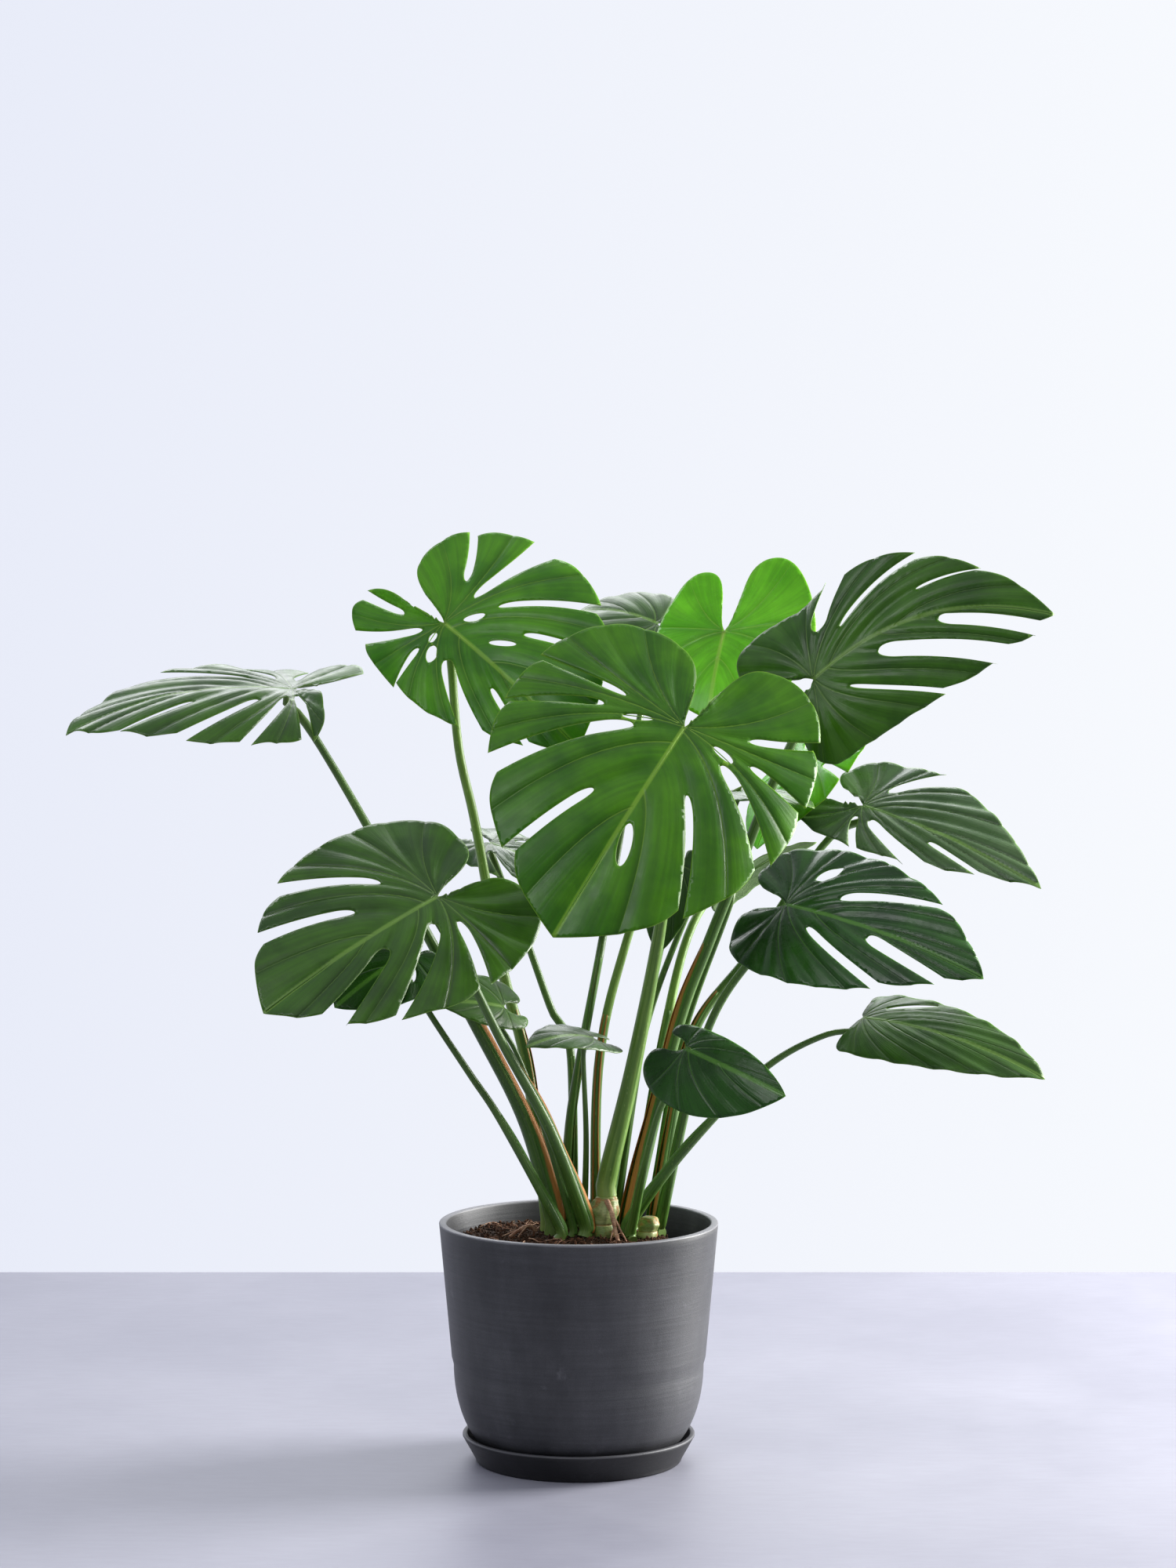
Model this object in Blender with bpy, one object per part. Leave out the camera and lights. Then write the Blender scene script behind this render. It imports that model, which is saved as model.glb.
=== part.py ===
"""A split-leaf plant of nineteen leaves, growing in a tapered round pot that stands in its saucer.

Blender 4.5 script. The model is in metres with +Z up. The origin is the middle of the saucer's underside,
on the surface that the saucer stands on. The plant's front is towards -Y.

Sizes are written in millimetres and multiplied by MM where the meshes are made.
"""

import math
from dataclasses import dataclass
from typing import List, Tuple

import bmesh
import bpy
import numpy as np
from mathutils import Vector
from mathutils.geometry import delaunay_2d_cdt

Point = Tuple[float, float, float]
Pair = Tuple[float, float]

MM = 0.001
GAP = 0.3

# Pot: a round-bottomed tapered planter.
RIM_RADIUS = 150.0
RIM_HEIGHT = 258.0
POT_BASE = 6.6
POT_WALL = 8.0
POT_TAPER = 0.0925
POT_SHOULDER_HEIGHT = 105.0
POT_SHOULDER_RADIUS = 134.5
POT_CORNER = 55.0
DRAIN_RADIUS = 10.0
ROUND_SIDES = 44

# Saucer: a flat dish with a flared rim.
SAUCER_TOP_RADIUS = 125.0
SAUCER_FOOT_RADIUS = 111.0
SAUCER_HEIGHT = 30.0
SAUCER_FLOOR = POT_BASE - GAP
SAUCER_WALL = 5.5

# Root ball: it keeps the shape of the smaller pot that it grew in, and stands to the left.
SOIL_CENTRE = (-16.0, -1.0)
SOIL_TOP_RADIUS = 116.0
SOIL_FOOT_RADIUS = 88.0
SOIL_HEIGHT = 241.0
SOIL_CROWN = 4.0

# Leaves.
BLADE_THICKNESS = 1.6
BLADE_STEP = 26.0
STALK_POINTS = 8
STALK_RISE = 14.0

@dataclass(frozen=True)
class Leaf:
    """One leaf blade with its stalk; lengths in millimetres, angles in degrees.

    A slit is (place, depth, mouth, waist): place runs along the margin from 0 at the stalk notch to 1 at the
    tip, depth is the share of the way in to the midrib, mouth and waist are its gaps at the margin and inside.
    A hole is (side, place, reach, length, width), with reach from 0 at the midrib to 1 at the margin.
    """

    name: str
    joint: Point
    tip: Point
    left: float
    right: float
    back_left: float
    back_right: float
    roll: float
    foot: Point
    route: Tuple[Point, ...]
    stalk: Tuple[float, float]
    sag: float = 8.0
    fold: Tuple[float, float] = (4.0, 4.0)
    curl: Tuple[float, float] = (20.0, 20.0)
    lift: float = 0.0
    droop: float = 0.0
    bow: float = 0.0
    fullness: float = 1.0
    notch: float = 9.0
    slits_left: Tuple[Tuple[float, float, float, float], ...] = ()
    slits_right: Tuple[Tuple[float, float, float, float], ...] = ()
    holes: Tuple[Tuple[str, float, float, float, float], ...] = ()
    finish: str = "mature"


def cubic(start: Pair, first: Pair, second: Pair, end: Pair, count: int) -> np.ndarray:
    """Points of a cubic Bezier curve.

    Args:
        start: First point.
        first: Handle that sets the direction out of the start.
        second: Handle that sets the direction into the end.
        end: Last point.
        count: How many points.

    Returns:
        An array of count points.
    """
    t = np.linspace(0.0, 1.0, count)[:, None]
    a, b, c, d = (np.array(p, float) for p in (start, first, second, end))
    return (1 - t) ** 3 * a + 3 * (1 - t) ** 2 * t * b + 3 * (1 - t) * t * t * c + t ** 3 * d


class HalfBlade:
    """One side of a leaf, flat: x runs out from the midrib and y from the stalk joint to the tip."""

    FAN = 0.30
    LAST_VEIN = 0.62

    def __init__(self, length: float, width: float, back: float, notch: float, fullness: float) -> None:
        """Lay out the margin.

        Args:
            length: Joint to tip.
            width: Midrib to the widest point.
            back: How far the basal lobe reaches behind the joint.
            notch: Width of the gap beside the joint.
            fullness: 1 for a broad end, less for a long pointed one.
        """
        self.length = length
        inner = cubic((0, 0), (1.6 * notch, -0.25 * back), (0.2 * notch, -back), (0.42 * width, -back), 40)
        shoulder = cubic((0.42 * width, -back), (0.80 * width, -back), (width, -0.10 * length),
                         (width, 0.18 * length), 40)
        flank = cubic((width, 0.18 * length), (width, (0.18 + 0.42 * fullness) * length),
                      (0.40 * fullness * width, (0.80 + 0.10 * fullness) * length), (0, length), 60)
        self.rim = np.vstack([inner, shoulder[1:], flank[1:]])
        walked = np.concatenate([[0.0], np.cumsum(np.linalg.norm(np.diff(self.rim, axis=0), axis=1))])
        self.perimeter = walked[-1]
        self.place = walked / walked[-1]

    def margin(self, place: np.ndarray) -> np.ndarray:
        """Points of the margin at the given places."""
        return np.stack([np.interp(place, self.place, self.rim[:, i]) for i in (0, 1)], axis=-1)

    def vein(self, place: np.ndarray, reach: np.ndarray) -> np.ndarray:
        """Points on the side veins.

        Args:
            place: Where each vein meets the margin.
            reach: How far along the vein, 0 at the midrib and 1 at the margin.

        Returns:
            Flat points.
        """
        end = self.margin(place)
        climb = np.clip(end[..., 1] / self.length - self.FAN, 0, 1) / (1 - self.FAN)
        start = self.LAST_VEIN * self.length * climb ** 3.2
        bend_x = 0.55 * end[..., 0]
        bend_y = start + 0.22 * (end[..., 1] - start)
        x = 2 * (1 - reach) * reach * bend_x + reach ** 2 * end[..., 0]
        y = (1 - reach) ** 2 * start + 2 * (1 - reach) * reach * bend_y + reach ** 2 * end[..., 1]
        return np.stack([x, y], axis=-1)

    def half_mouth(self, row: Tuple[float, float, float, float]) -> float:
        """Half of a split's gap, measured along the margin as a share of the margin's length."""
        place = np.array([row[0] - 0.005, row[0] + 0.005])
        rim = np.diff(self.margin(place), axis=0)[0]
        vein = np.diff(self.vein(np.full(2, row[0]), np.array([0.97, 1.0])), axis=0)[0]
        sine = abs(rim[0] * vein[1] - rim[1] * vein[0]) / np.linalg.norm(rim) / np.linalg.norm(vein)
        return 0.5 * row[2] / self.perimeter / max(sine, 0.35)

    def slit(self, row: Tuple[float, float, float, float], step: float) -> np.ndarray:
        """One split's edge, in from the margin on the side of the notch and out again nearer the tip."""
        place, depth, mouth, waist = row
        count = max(4, int(depth * 0.3 * self.perimeter / step))
        t = np.linspace(1, 0, count) ** 1.5
        reach = 1 - depth + depth * t
        line = self.vein(np.full(count, place), reach)
        along = np.gradient(line, axis=0)
        along /= np.linalg.norm(along, axis=1)[:, None]
        across = np.stack([-along[:, 1], along[:, 0]], axis=1)
        round_end = np.sqrt(np.clip(1 - (1 - np.clip(t / 0.22, 0, 1)) ** 2, 0, 1))
        half = (0.5 * (waist + (mouth - waist) * t ** 2) * round_end)[:, None]
        first, second = line + across * half, line - across * half
        nearer = self.vein(np.array([place - 0.03]), np.array([0.8]))[0]
        if np.linalg.norm(first[1] - nearer) > np.linalg.norm(second[1] - nearer):
            first, second = second, first
        return np.vstack([first[reach < 0.985], second[(reach < 0.94) & (t > 0)][::-1]])

    def outline(self, slits: Tuple[Tuple[float, float, float, float], ...], step: float) -> np.ndarray:
        """The edge from the joint round to the tip, with every split cut in.

        Args:
            slits: The side's splits.
            step: Spacing of the points.

        Returns:
            Flat points, joint first and tip last.
        """
        pieces: List[np.ndarray] = []
        low = 0.0
        for row in tuple(sorted(slits)) + (None,):
            high = row[0] - self.half_mouth(row) if row else 1.0
            count = max(3, int((high - low) * self.perimeter / step))
            place = np.linspace(low, high, count)
            edge = self.margin(place)
            if low > 0:
                pull = 0.30 * np.clip(1 - (place - low) / 0.05, 0, 1) ** 2
                edge = edge + (self.vein(place, np.full(count, 0.9)) - edge) * pull[:, None] * 1.5
            pieces.append(edge)
            if row:
                pieces.append(self.slit(row, step))
                low = row[0] + self.half_mouth(row)
        return np.vstack(pieces)


class Blade:
    """A whole leaf blade: its flat outline and the way it lies in space."""

    def __init__(self, leaf: Leaf) -> None:
        """Lay out both halves.

        Args:
            leaf: The leaf's sizes and pose.
        """
        self.leaf = leaf
        self.joint = np.array(leaf.joint, float)
        self.chord = np.array(leaf.tip, float) - self.joint
        self.length = float(np.linalg.norm(self.chord))
        self.right = HalfBlade(self.length, leaf.right, leaf.back_right, leaf.notch, leaf.fullness)
        self.left = HalfBlade(self.length, leaf.left, leaf.back_left, leaf.notch, leaf.fullness)

    def outline(self, step: float) -> np.ndarray:
        """The whole flat edge, counter-clockwise seen from above, starting at the joint."""
        right = self.right.outline(self.leaf.slits_right, step)
        left = self.left.outline(self.leaf.slits_left, step) * (-1, 1)
        return np.vstack([right, left[::-1][1:-1]])

    def holes(self, step: float) -> List[np.ndarray]:
        """The flat edge of each hole: an ellipse that lies along its vein."""
        rings = []
        for side, place, reach, length, width in self.leaf.holes:
            half = self.right if side == "right" else self.left
            centre = half.vein(np.array(place), np.array(reach))
            along = half.vein(np.array(place), np.array(reach + 0.02)) - centre
            along /= np.linalg.norm(along)
            across = np.array([-along[1], along[0]])
            count = max(6, int(math.pi * (length + width) / 2 / step))
            turn = np.linspace(0, 2 * math.pi, count, endpoint=False)
            ring = centre + np.outer(np.cos(turn) * length / 2, along) + np.outer(np.sin(turn) * width / 2, across)
            rings.append(ring if side == "right" else ring * (-1, 1))
        return rings

    def axes(self) -> Tuple[np.ndarray, np.ndarray, np.ndarray]:
        """Unit vectors along the midrib, out to the right half and up from the upper face."""
        along = self.chord / self.length
        up = np.array([0.0, 0.0, 1.0])
        face = up - up.dot(along) * along
        face /= np.linalg.norm(face)
        across = np.cross(along, face)
        roll = math.radians(self.leaf.roll)
        face = face * math.cos(roll) + across * math.sin(roll)
        return along, np.cross(along, face), face

    def place(self, flat: np.ndarray) -> np.ndarray:
        """Bend flat points into the leaf's place in space.

        Args:
            flat: Points on the flat blade.

        Returns:
            Points in space, in millimetres.
        """
        leaf = self.leaf
        along, across, face = self.axes()
        x, y = flat[:, 0], flat[:, 1]
        share = y / self.length
        ahead = share >= 0
        rise = np.where(ahead, 4 * leaf.sag * share * (1 - share), 4 * leaf.sag * share)
        slope = np.where(ahead, 4 * leaf.sag * (1 - 2 * share), 4 * leaf.sag) / self.length
        normal = (face[None] - slope[:, None] * along[None]) / np.sqrt(1 + slope ** 2)[:, None]
        on_left = x < 0
        width = np.where(on_left, leaf.left, leaf.right)
        out = np.abs(x) / width
        fold = np.radians(np.where(on_left, leaf.fold[0], leaf.fold[1]))
        curl = np.radians(np.where(on_left, leaf.curl[0], leaf.curl[1])) + 1e-4
        reach = width * (np.sin(fold) - np.sin(fold - curl * out)) / curl
        height = width * (np.cos(fold - curl * out) - np.cos(fold)) / curl
        back = np.where(on_left, leaf.back_left, leaf.back_right)
        height = height + leaf.lift * np.clip(-y / back, 0, 2) ** 1.5
        height = height - leaf.droop * np.clip((share - 0.5) / 0.5, 0, 2) ** 2
        reach = np.where(on_left, -reach, reach) - 4 * leaf.bow * share * (1 - share) * ahead
        return (self.joint + share[:, None] * self.chord + rise[:, None] * face
                + reach[:, None] * across + height[:, None] * normal)

    def stalk_top(self, gap: float) -> Tuple[np.ndarray, np.ndarray]:
        """Where the stalk ends under the blade, and the way it points there.

        Args:
            gap: Distance below the blade's middle surface.

        Returns:
            The end point and a unit vector up into the blade.
        """
        spot = np.array([[0.0, 5.0], [1.0, 5.0], [0.0, 6.0]])
        here, aside, ahead = self.place(spot)
        up = np.cross(aside - here, ahead - here)
        up /= np.linalg.norm(up)
        return here - gap * up, up


def smooth_path(points: List[np.ndarray], count: int) -> np.ndarray:
    """A smooth curve through the points, read off at even steps.

    Args:
        points: The points that the curve passes through.
        count: How many points to return.

    Returns:
        An array of count points.
    """
    p = np.array(points, float)
    p = np.vstack([2 * p[0] - p[1], p, 2 * p[-1] - p[-2]])
    t = np.linspace(0, 1, 24, endpoint=False)[:, None]
    runs = []
    for a, b, c, d in zip(p[:-3], p[1:-2], p[2:-1], p[3:]):
        runs.append(0.5 * (2 * b + (c - a) * t + (2 * a - 5 * b + 4 * c - d) * t ** 2
                           + (3 * b - a - 3 * c + d) * t ** 3))
    dense = np.vstack(runs + [p[-2][None]])
    walked = np.concatenate([[0.0], np.cumsum(np.linalg.norm(np.diff(dense, axis=0), axis=1))])
    even = np.linspace(0, walked[-1], count)
    return np.stack([np.interp(even, walked, dense[:, i]) for i in range(3)], axis=1)


LEAVES = (
    Leaf("front_centre", joint=(110, -130, 795), tip=(-25, -270, 590), left=155, right=178,
         back_left=120, back_right=95, roll=-42, sag=12, fold=(4, 4), curl=(22, 18), lift=-6,
         foot=(30, 0, 288), route=((57, -15, 420), (84, -45, 565), (98, -85, 685)), stalk=(11, 5),
         slits_right=((.44, .62, 5, 8), (.55, .55, 6, 10), (.68, .72, 22, 14), (.84, .52, 14, 10)),
         slits_left=((.36, .52, 6, 9), (.49, .50, 9, 9), (.63, .66, 20, 14), (.80, .62, 6, 8)),
         holes=(("right", .63, .26, 32, 8), ("left", .55, .30, 26, 10), ("left", .94, .38, 50, 14)),
         finish="bright"),
    Leaf("upper_left", joint=(-145, 40, 900), tip=(0, -60, 770), left=152, right=90,
         back_left=92, back_right=100, roll=48, sag=10,
         foot=(-34, 22, 247), route=((-56, 35, 421), (-83, 45, 526), (-112, 50, 683), (-130, 45, 768)),
         stalk=(8, 4.5),
         slits_left=((.31, .52, 9, 9), (.47, .72, 34, 12), (.68, .62, 16, 8), (.80, .50, 8, 7)),
         slits_right=((.23, .42, 12, 8), (.35, .72, 12, 10), (.52, .57, 5, 8), (.76, .60, 22, 15),
                      (.89, .50, 8, 6)),
         holes=(("left", .72, .20, 24, 9), ("left", .84, .30, 30, 8), ("right", .60, .22, 14, 8),
                ("right", .66, .40, 22, 12)),
         finish="bright"),
    Leaf("far_left", joint=(-305, 0, 830), tip=(-540, -60, 785), left=118, right=100,
         back_left=22, back_right=80, roll=-5, sag=18, fold=(-4, 10), curl=(48, 10), lift=15,
         foot=(-27, -4, 247), route=((-57, -10, 368), (-113, -15, 478), (-225, 0, 682), (-289, 0, 790)),
         stalk=(10, 4),
         slits_left=((.30, .78, 14, 10), (.48, .75, 14, 10), (.66, .62, 14, 8), (.83, .50, 10, 6)),
         slits_right=((.34, .60, 9, 9), (.52, .62, 14, 10), (.70, .60, 12, 8))),
    Leaf("lower_left", joint=(-145, -140, 620), tip=(-315, -270, 515), left=120, right=134,
         back_left=82, back_right=78, roll=-38, sag=8,
         foot=(6, -20, 247), route=((-31, -55, 366), (-80, -90, 462), (-111, -115, 529)), stalk=(8, 4),
         slits_right=((.68, .60, 14, 10), (.82, .56, 20, 9)),
         slits_left=((.52, .70, 12, 11), (.73, .74, 8, 16), (.86, .62, 26, 15))),
    Leaf("upper_right", joint=(250, 0, 840), tip=(505, -20, 910), left=88, right=102,
         back_left=78, back_right=28, roll=66, sag=10, bow=34,
         foot=(56, 18, 247), route=((104, 15, 459), (140, 10, 559), (179, 5, 657), (207, 0, 728)),
         stalk=(9, 5),
         slits_left=((.50, .52, 24, 20), (.70, .60, 4, 5), (.84, .35, 3, 3)),
         slits_right=((.62, .62, 5, 4), (.80, .70, 26, 16), (.93, .66, 22, 14))),
    Leaf("upper_back", joint=(160, 130, 890), tip=(140, 70, 795), left=105, right=84,
         back_left=100, back_right=78, roll=0, sag=5, lift=10,
         foot=(18, 30, 247), route=((22, 30, 427), (52, 48, 556), (122, 95, 760)), stalk=(6, 4),
         finish="young"),
    Leaf("back_left", joint=(88, 200, 897), tip=(0, 260, 910), left=60, right=60,
         back_left=45, back_right=45, roll=-28, sag=8,
         foot=(-14, 26, 247), route=((-10, 16, 355), (3, 22, 438), (26, 68, 557), (60, 140, 750)),
         stalk=(6, 3.5),
         slits_left=((.45, .6, 10, 8), (.68, .6, 10, 8)), slits_right=((.45, .6, 10, 8),)),
    Leaf("right", joint=(310, 90, 700), tip=(490, -40, 620), left=88, right=64,
         back_left=50, back_right=70, roll=32, sag=10, fullness=.62,
         foot=(86, 34, 247), route=((121, 50, 446), (189, 70, 543), (270, 90, 660)), stalk=(7, 4),
         slits_left=((.50, .66, 24, 14),),
         slits_right=((.48, .72, 8, 8), (.66, .66, 20, 12), (.84, .40, 6, 6)),
         finish="silvery"),
    Leaf("lower_right", joint=(215, -120, 610), tip=(410, -230, 545), left=94, right=90,
         back_left=50, back_right=38, roll=42, sag=12, fullness=.85,
         foot=(90, 8, 247), route=((135, -40, 464), (189, -80, 558)), stalk=(6, 4),
         slits_left=((.76, .62, 5, 13),), slits_right=((.72, .68, 10, 8), (.89, .62, 12, 14)),
         holes=(("left", .50, .55, 32, 14),), finish="dark"),
    Leaf("low_right", joint=(300, -60, 485), tip=(480, -170, 435), left=52, right=58,
         back_left=6, back_right=4, roll=30, sag=14, notch=3,
         foot=(56, -20, 247), route=((110, -40, 338), (193, -55, 427), (260, -60, 466)), stalk=(7, 3),
         holes=(("left", .50, .62, 55, 6),)),
    Leaf("small_front", joint=(110, -160, 465), tip=(210, -230, 425), left=30, right=62,
         back_left=26, back_right=38, roll=64, sag=5, curl=(40, 20),
         foot=(58, -39, 247), route=((84, -100, 389),), stalk=(5, 3), finish="dark"),
    Leaf("inner_left", joint=(-181, -40, 552), tip=(-255, -100, 500), left=48, right=45,
         back_left=25, back_right=25, roll=-45, sag=5,
         foot=(-22, -36, 247), route=((-82, -42, 372), (-115, -42, 422), (-160, -40, 490)), stalk=(6, 3),
         holes=(("left", .60, .5, 20, 8),), finish="dark"),
    Leaf("small_left", joint=(-79, -32, 493), tip=(-150, -78, 503), left=30, right=46,
         back_left=28, back_right=28, roll=-45, sag=4,
         foot=(-8, -18, 247), route=((-38, -28, 366), (-66, -30, 443)), stalk=(4, 2.5)),
    Leaf("middle_left", joint=(-98, 122, 657), tip=(50, 10, 580), left=56, right=46,
         back_left=45, back_right=45, roll=14, sag=10,
         foot=(-6, 44, 247), route=((-9, 56, 433), (-30, 66, 479), (-60, 84, 560)), stalk=(6, 3.5),
         slits_left=((.55, .6, 8, 8),), slits_right=((.55, .6, 8, 8),), finish="silvery"),
    Leaf("small_middle", joint=(16, -42, 461), tip=(-55, -100, 458), left=26, right=30,
         back_left=34, back_right=34, roll=-24, sag=8,
         foot=(6, 12, 247), route=((8, -12, 350),), stalk=(4, 2.5), finish="silvery"),
    Leaf("back_right", joint=(255, 160, 745), tip=(195, 125, 650), left=75, right=75,
         back_left=95, back_right=95, roll=0, sag=6,
         foot=(60, 44, 247), route=((112, 95, 533), (165, 150, 620), (222, 188, 695)), stalk=(7, 4),
         slits_left=((.40, .6, 10, 8), (.62, .6, 12, 8)), slits_right=((.40, .6, 10, 8), (.62, .6, 10, 8)),
         finish="young"),
    Leaf("inner_right", joint=(164, 100, 714), tip=(256, 60, 699), left=50, right=45,
         back_left=30, back_right=30, roll=5, sag=8,
         foot=(34, 64, 247), route=((80, 88, 480),), stalk=(5, 3), finish="silvery"),
    Leaf("under_right", joint=(152, 66, 603), tip=(258, 62, 662), left=40, right=32,
         back_left=14, back_right=14, roll=-25, sag=8,
         foot=(80, 60, 247), route=((112, 82, 440),), stalk=(5, 3)),
    Leaf("small_right", joint=(105, 30, 640), tip=(85, -15, 548), left=30, right=30,
         back_left=20, back_right=20, roll=-10, sag=5,
         foot=(42, 42, 247), route=((70, 46, 450),), stalk=(4, 3)),
)


STEMS = (
    ("stem_main", (28.0, 0.0), 14.0, 287.5),
    ("stem_right", (74.0, -5.0), 11.0, 264.0),
)

ROOTS = (
    ("root_front", ((33, -17, 276), (36, -27, 268), (39, -42, 254), (41, -52, 247)), 3.0),
    ("root_side", ((-52, -2, 249), (-62, -9, 252), (-72, -18, 247)), 2.5),
)

FINISHES = {
    "mature": ((0.060, 0.130, 0.045, 1.0), 0.36),
    "bright": ((0.080, 0.200, 0.035, 1.0), 0.34),
    "dark": ((0.025, 0.085, 0.015, 1.0), 0.28),
    "young": ((0.150, 0.340, 0.060, 1.0), 0.30),
    "silvery": ((0.130, 0.190, 0.120, 1.0), 0.32),
}


def clear_scene() -> None:
    """Remove every object that the file opened with."""
    for obj in list(bpy.data.objects):
        bpy.data.objects.remove(obj, do_unlink=True)


def plain_material(name: str, colour: Tuple[float, float, float, float], roughness: float) -> bpy.types.Material:
    """A Principled material of one colour, shared by every piece that asks for the same name."""
    found = bpy.data.materials.get(name)
    if found:
        return found
    made = bpy.data.materials.new(name)
    made.use_nodes = True
    shader = made.node_tree.nodes["Principled BSDF"]
    shader.inputs["Base Color"].default_value = colour
    shader.inputs["Roughness"].default_value = roughness
    shader.inputs["Metallic"].default_value = 0.0
    made.diffuse_color = colour
    return made


def add_object(name: str, data: bpy.types.ID, finish: bpy.types.Material) -> bpy.types.Object:
    """Link an object with its own data and one material."""
    obj = bpy.data.objects.new(name, data)
    bpy.context.scene.collection.objects.link(obj)
    data.materials.append(finish)
    return obj


def arc(centre: Pair, radius: Pair, start: float, end: float, count: int) -> List[Pair]:
    """Points along a stretch of an ellipse, with angles in degrees from the +X side."""
    turns = [math.radians(start + (end - start) * i / (count - 1)) for i in range(count)]
    return [(centre[0] + radius[0] * math.cos(a), centre[1] + radius[1] * math.sin(a)) for a in turns]


def turned(name: str, profile: List[Pair], centre: Pair, sides: int, finish: bpy.types.Material) -> bpy.types.Object:
    """Spin a profile of (radius, height) pairs once round an upright axis.

    A profile that starts and ends on the axis makes a solid, and a closed one makes a ring.
    """
    shape = bmesh.new()
    points = [shape.verts.new((radius * MM, 0.0, height * MM)) for radius, height in profile]
    edges = [shape.edges.new(pair) for pair in zip(points, points[1:])]
    if profile[0][0] > 0:
        edges.append(shape.edges.new((points[-1], points[0])))
    bmesh.ops.spin(shape, geom=points + edges, cent=(0, 0, 0), axis=(0, 0, 1), angle=2 * math.pi,
                   steps=sides, use_merge=True, use_duplicate=False)
    bmesh.ops.remove_doubles(shape, verts=shape.verts, dist=0.00001)
    bmesh.ops.recalc_face_normals(shape, faces=shape.faces)
    mesh = bpy.data.meshes.new(name)
    shape.to_mesh(mesh)
    shape.free()
    mesh.shade_smooth()
    mesh.set_sharp_from_angle(angle=math.radians(35))
    obj = add_object(name, mesh, finish)
    obj.location = (centre[0] * MM, centre[1] * MM, 0.0)
    return obj


def make_saucer() -> None:
    """The dish under the pot."""
    top, foot = SAUCER_TOP_RADIUS, SAUCER_FOOT_RADIUS
    inside_foot = foot - 4.0
    profile = [
        (0.0, 0.0), (foot - 1.5, 0.0), (foot, 1.5), (top, SAUCER_HEIGHT - 1.0), (top - 1.0, SAUCER_HEIGHT),
        (top - SAUCER_WALL + 1.0, SAUCER_HEIGHT), (top - SAUCER_WALL, SAUCER_HEIGHT - 1.0),
        (inside_foot, SAUCER_FLOOR + 2.0), (inside_foot - 3.0, SAUCER_FLOOR), (0.0, SAUCER_FLOOR),
    ]
    turned("saucer", profile, (0, 0), ROUND_SIDES, plain_material("dark_clay", (0.020, 0.020, 0.023, 1), 0.6))


def pot_side(inset: float, count: int) -> List[Pair]:
    """The pot's side from the rim down to the flat base, moved in by the wall's thickness."""
    straight = [(RIM_RADIUS - POT_TAPER * (RIM_HEIGHT - height) - inset, height)
                for height in (RIM_HEIGHT - 1.5, 195.0, 132.0)]
    centre = (POT_SHOULDER_RADIUS - POT_CORNER, POT_SHOULDER_HEIGHT)
    radius = (POT_CORNER - inset, POT_SHOULDER_HEIGHT - POT_BASE - inset)
    return straight + arc(centre, radius, 0, -90, count)


def make_pot() -> None:
    """The planter, with a drain hole through its floor."""
    outside = pot_side(0.0, 8)
    inside = pot_side(POT_WALL, 7)
    profile = ([(RIM_RADIUS - POT_WALL + 1.5, RIM_HEIGHT), (RIM_RADIUS - 1.5, RIM_HEIGHT)] + outside
               + [(DRAIN_RADIUS, POT_BASE), (DRAIN_RADIUS, POT_BASE + POT_WALL)] + inside[::-1])
    turned("pot", profile, (0, 0), ROUND_SIDES, plain_material("charcoal_clay", (0.050, 0.052, 0.060, 1), 0.55))


def make_soil() -> None:
    """The root ball: a slightly tapered plug with a gently crowned top."""
    low = POT_BASE + POT_WALL + GAP
    top = SOIL_TOP_RADIUS
    inner = 46.0
    profile = [(0.0, low), (inner, low), (inner + 14.0, low + 12.0), (SOIL_FOOT_RADIUS, low + 42.0),
               (top - 4.0, 150.0), (top, SOIL_HEIGHT - 14.0), (top - 4.0, SOIL_HEIGHT - 3.0),
               (0.72 * top, SOIL_HEIGHT + 0.5 * SOIL_CROWN), (0.0, SOIL_HEIGHT + SOIL_CROWN)]
    turned("soil", profile, SOIL_CENTRE, 36, plain_material("potting_soil", (0.045, 0.022, 0.011, 1), 0.95))


def make_stem(name: str, centre: Pair, radius: float, top: float) -> None:
    """A short knotted stem that the stalks grow from, standing on the soil."""
    low = SOIL_HEIGHT + SOIL_CROWN + GAP
    rise = top - low
    profile = [(0.0, low), (0.92 * radius, low), (radius, low + 0.30 * rise), (0.86 * radius, low + 0.50 * rise),
               (0.97 * radius, low + 0.72 * rise), (0.62 * radius, top), (0.0, top)]
    turned(name, profile, centre, 12, plain_material("green_stem", (0.150, 0.210, 0.060, 1), 0.5))


def make_rod(name: str, path: np.ndarray, radii: np.ndarray, finish: bpy.types.Material) -> None:
    """A tapered round rod along a path, closed at both ends."""
    curve = bpy.data.curves.new(name, "CURVE")
    curve.dimensions = "3D"
    curve.bevel_depth = MM
    curve.bevel_resolution = 1
    curve.use_fill_caps = True
    curve.resolution_u = 1
    curve.render_resolution_u = 0
    spline = curve.splines.new("POLY")
    spline.points.add(len(path) - 1)
    for point, place, radius in zip(spline.points, path * MM, radii):
        point.co = (*place, 1.0)
        point.radius = radius
    add_object(name, curve, finish)


def inside_polygon(points: np.ndarray, ring: np.ndarray) -> np.ndarray:
    """Which flat points lie inside a closed ring."""
    start, end = ring, np.roll(ring, -1, axis=0)
    x, y = points[:, 0:1], points[:, 1:2]
    spans = (start[None, :, 1] > y) != (end[None, :, 1] > y)
    rise = np.where(end[:, 1] == start[:, 1], 1e-9, end[:, 1] - start[:, 1])
    cross = start[None, :, 0] + (y - start[None, :, 1]) * ((end[:, 0] - start[:, 0]) / rise)[None]
    return (spans & (x < cross)).sum(1) % 2 == 1


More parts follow.
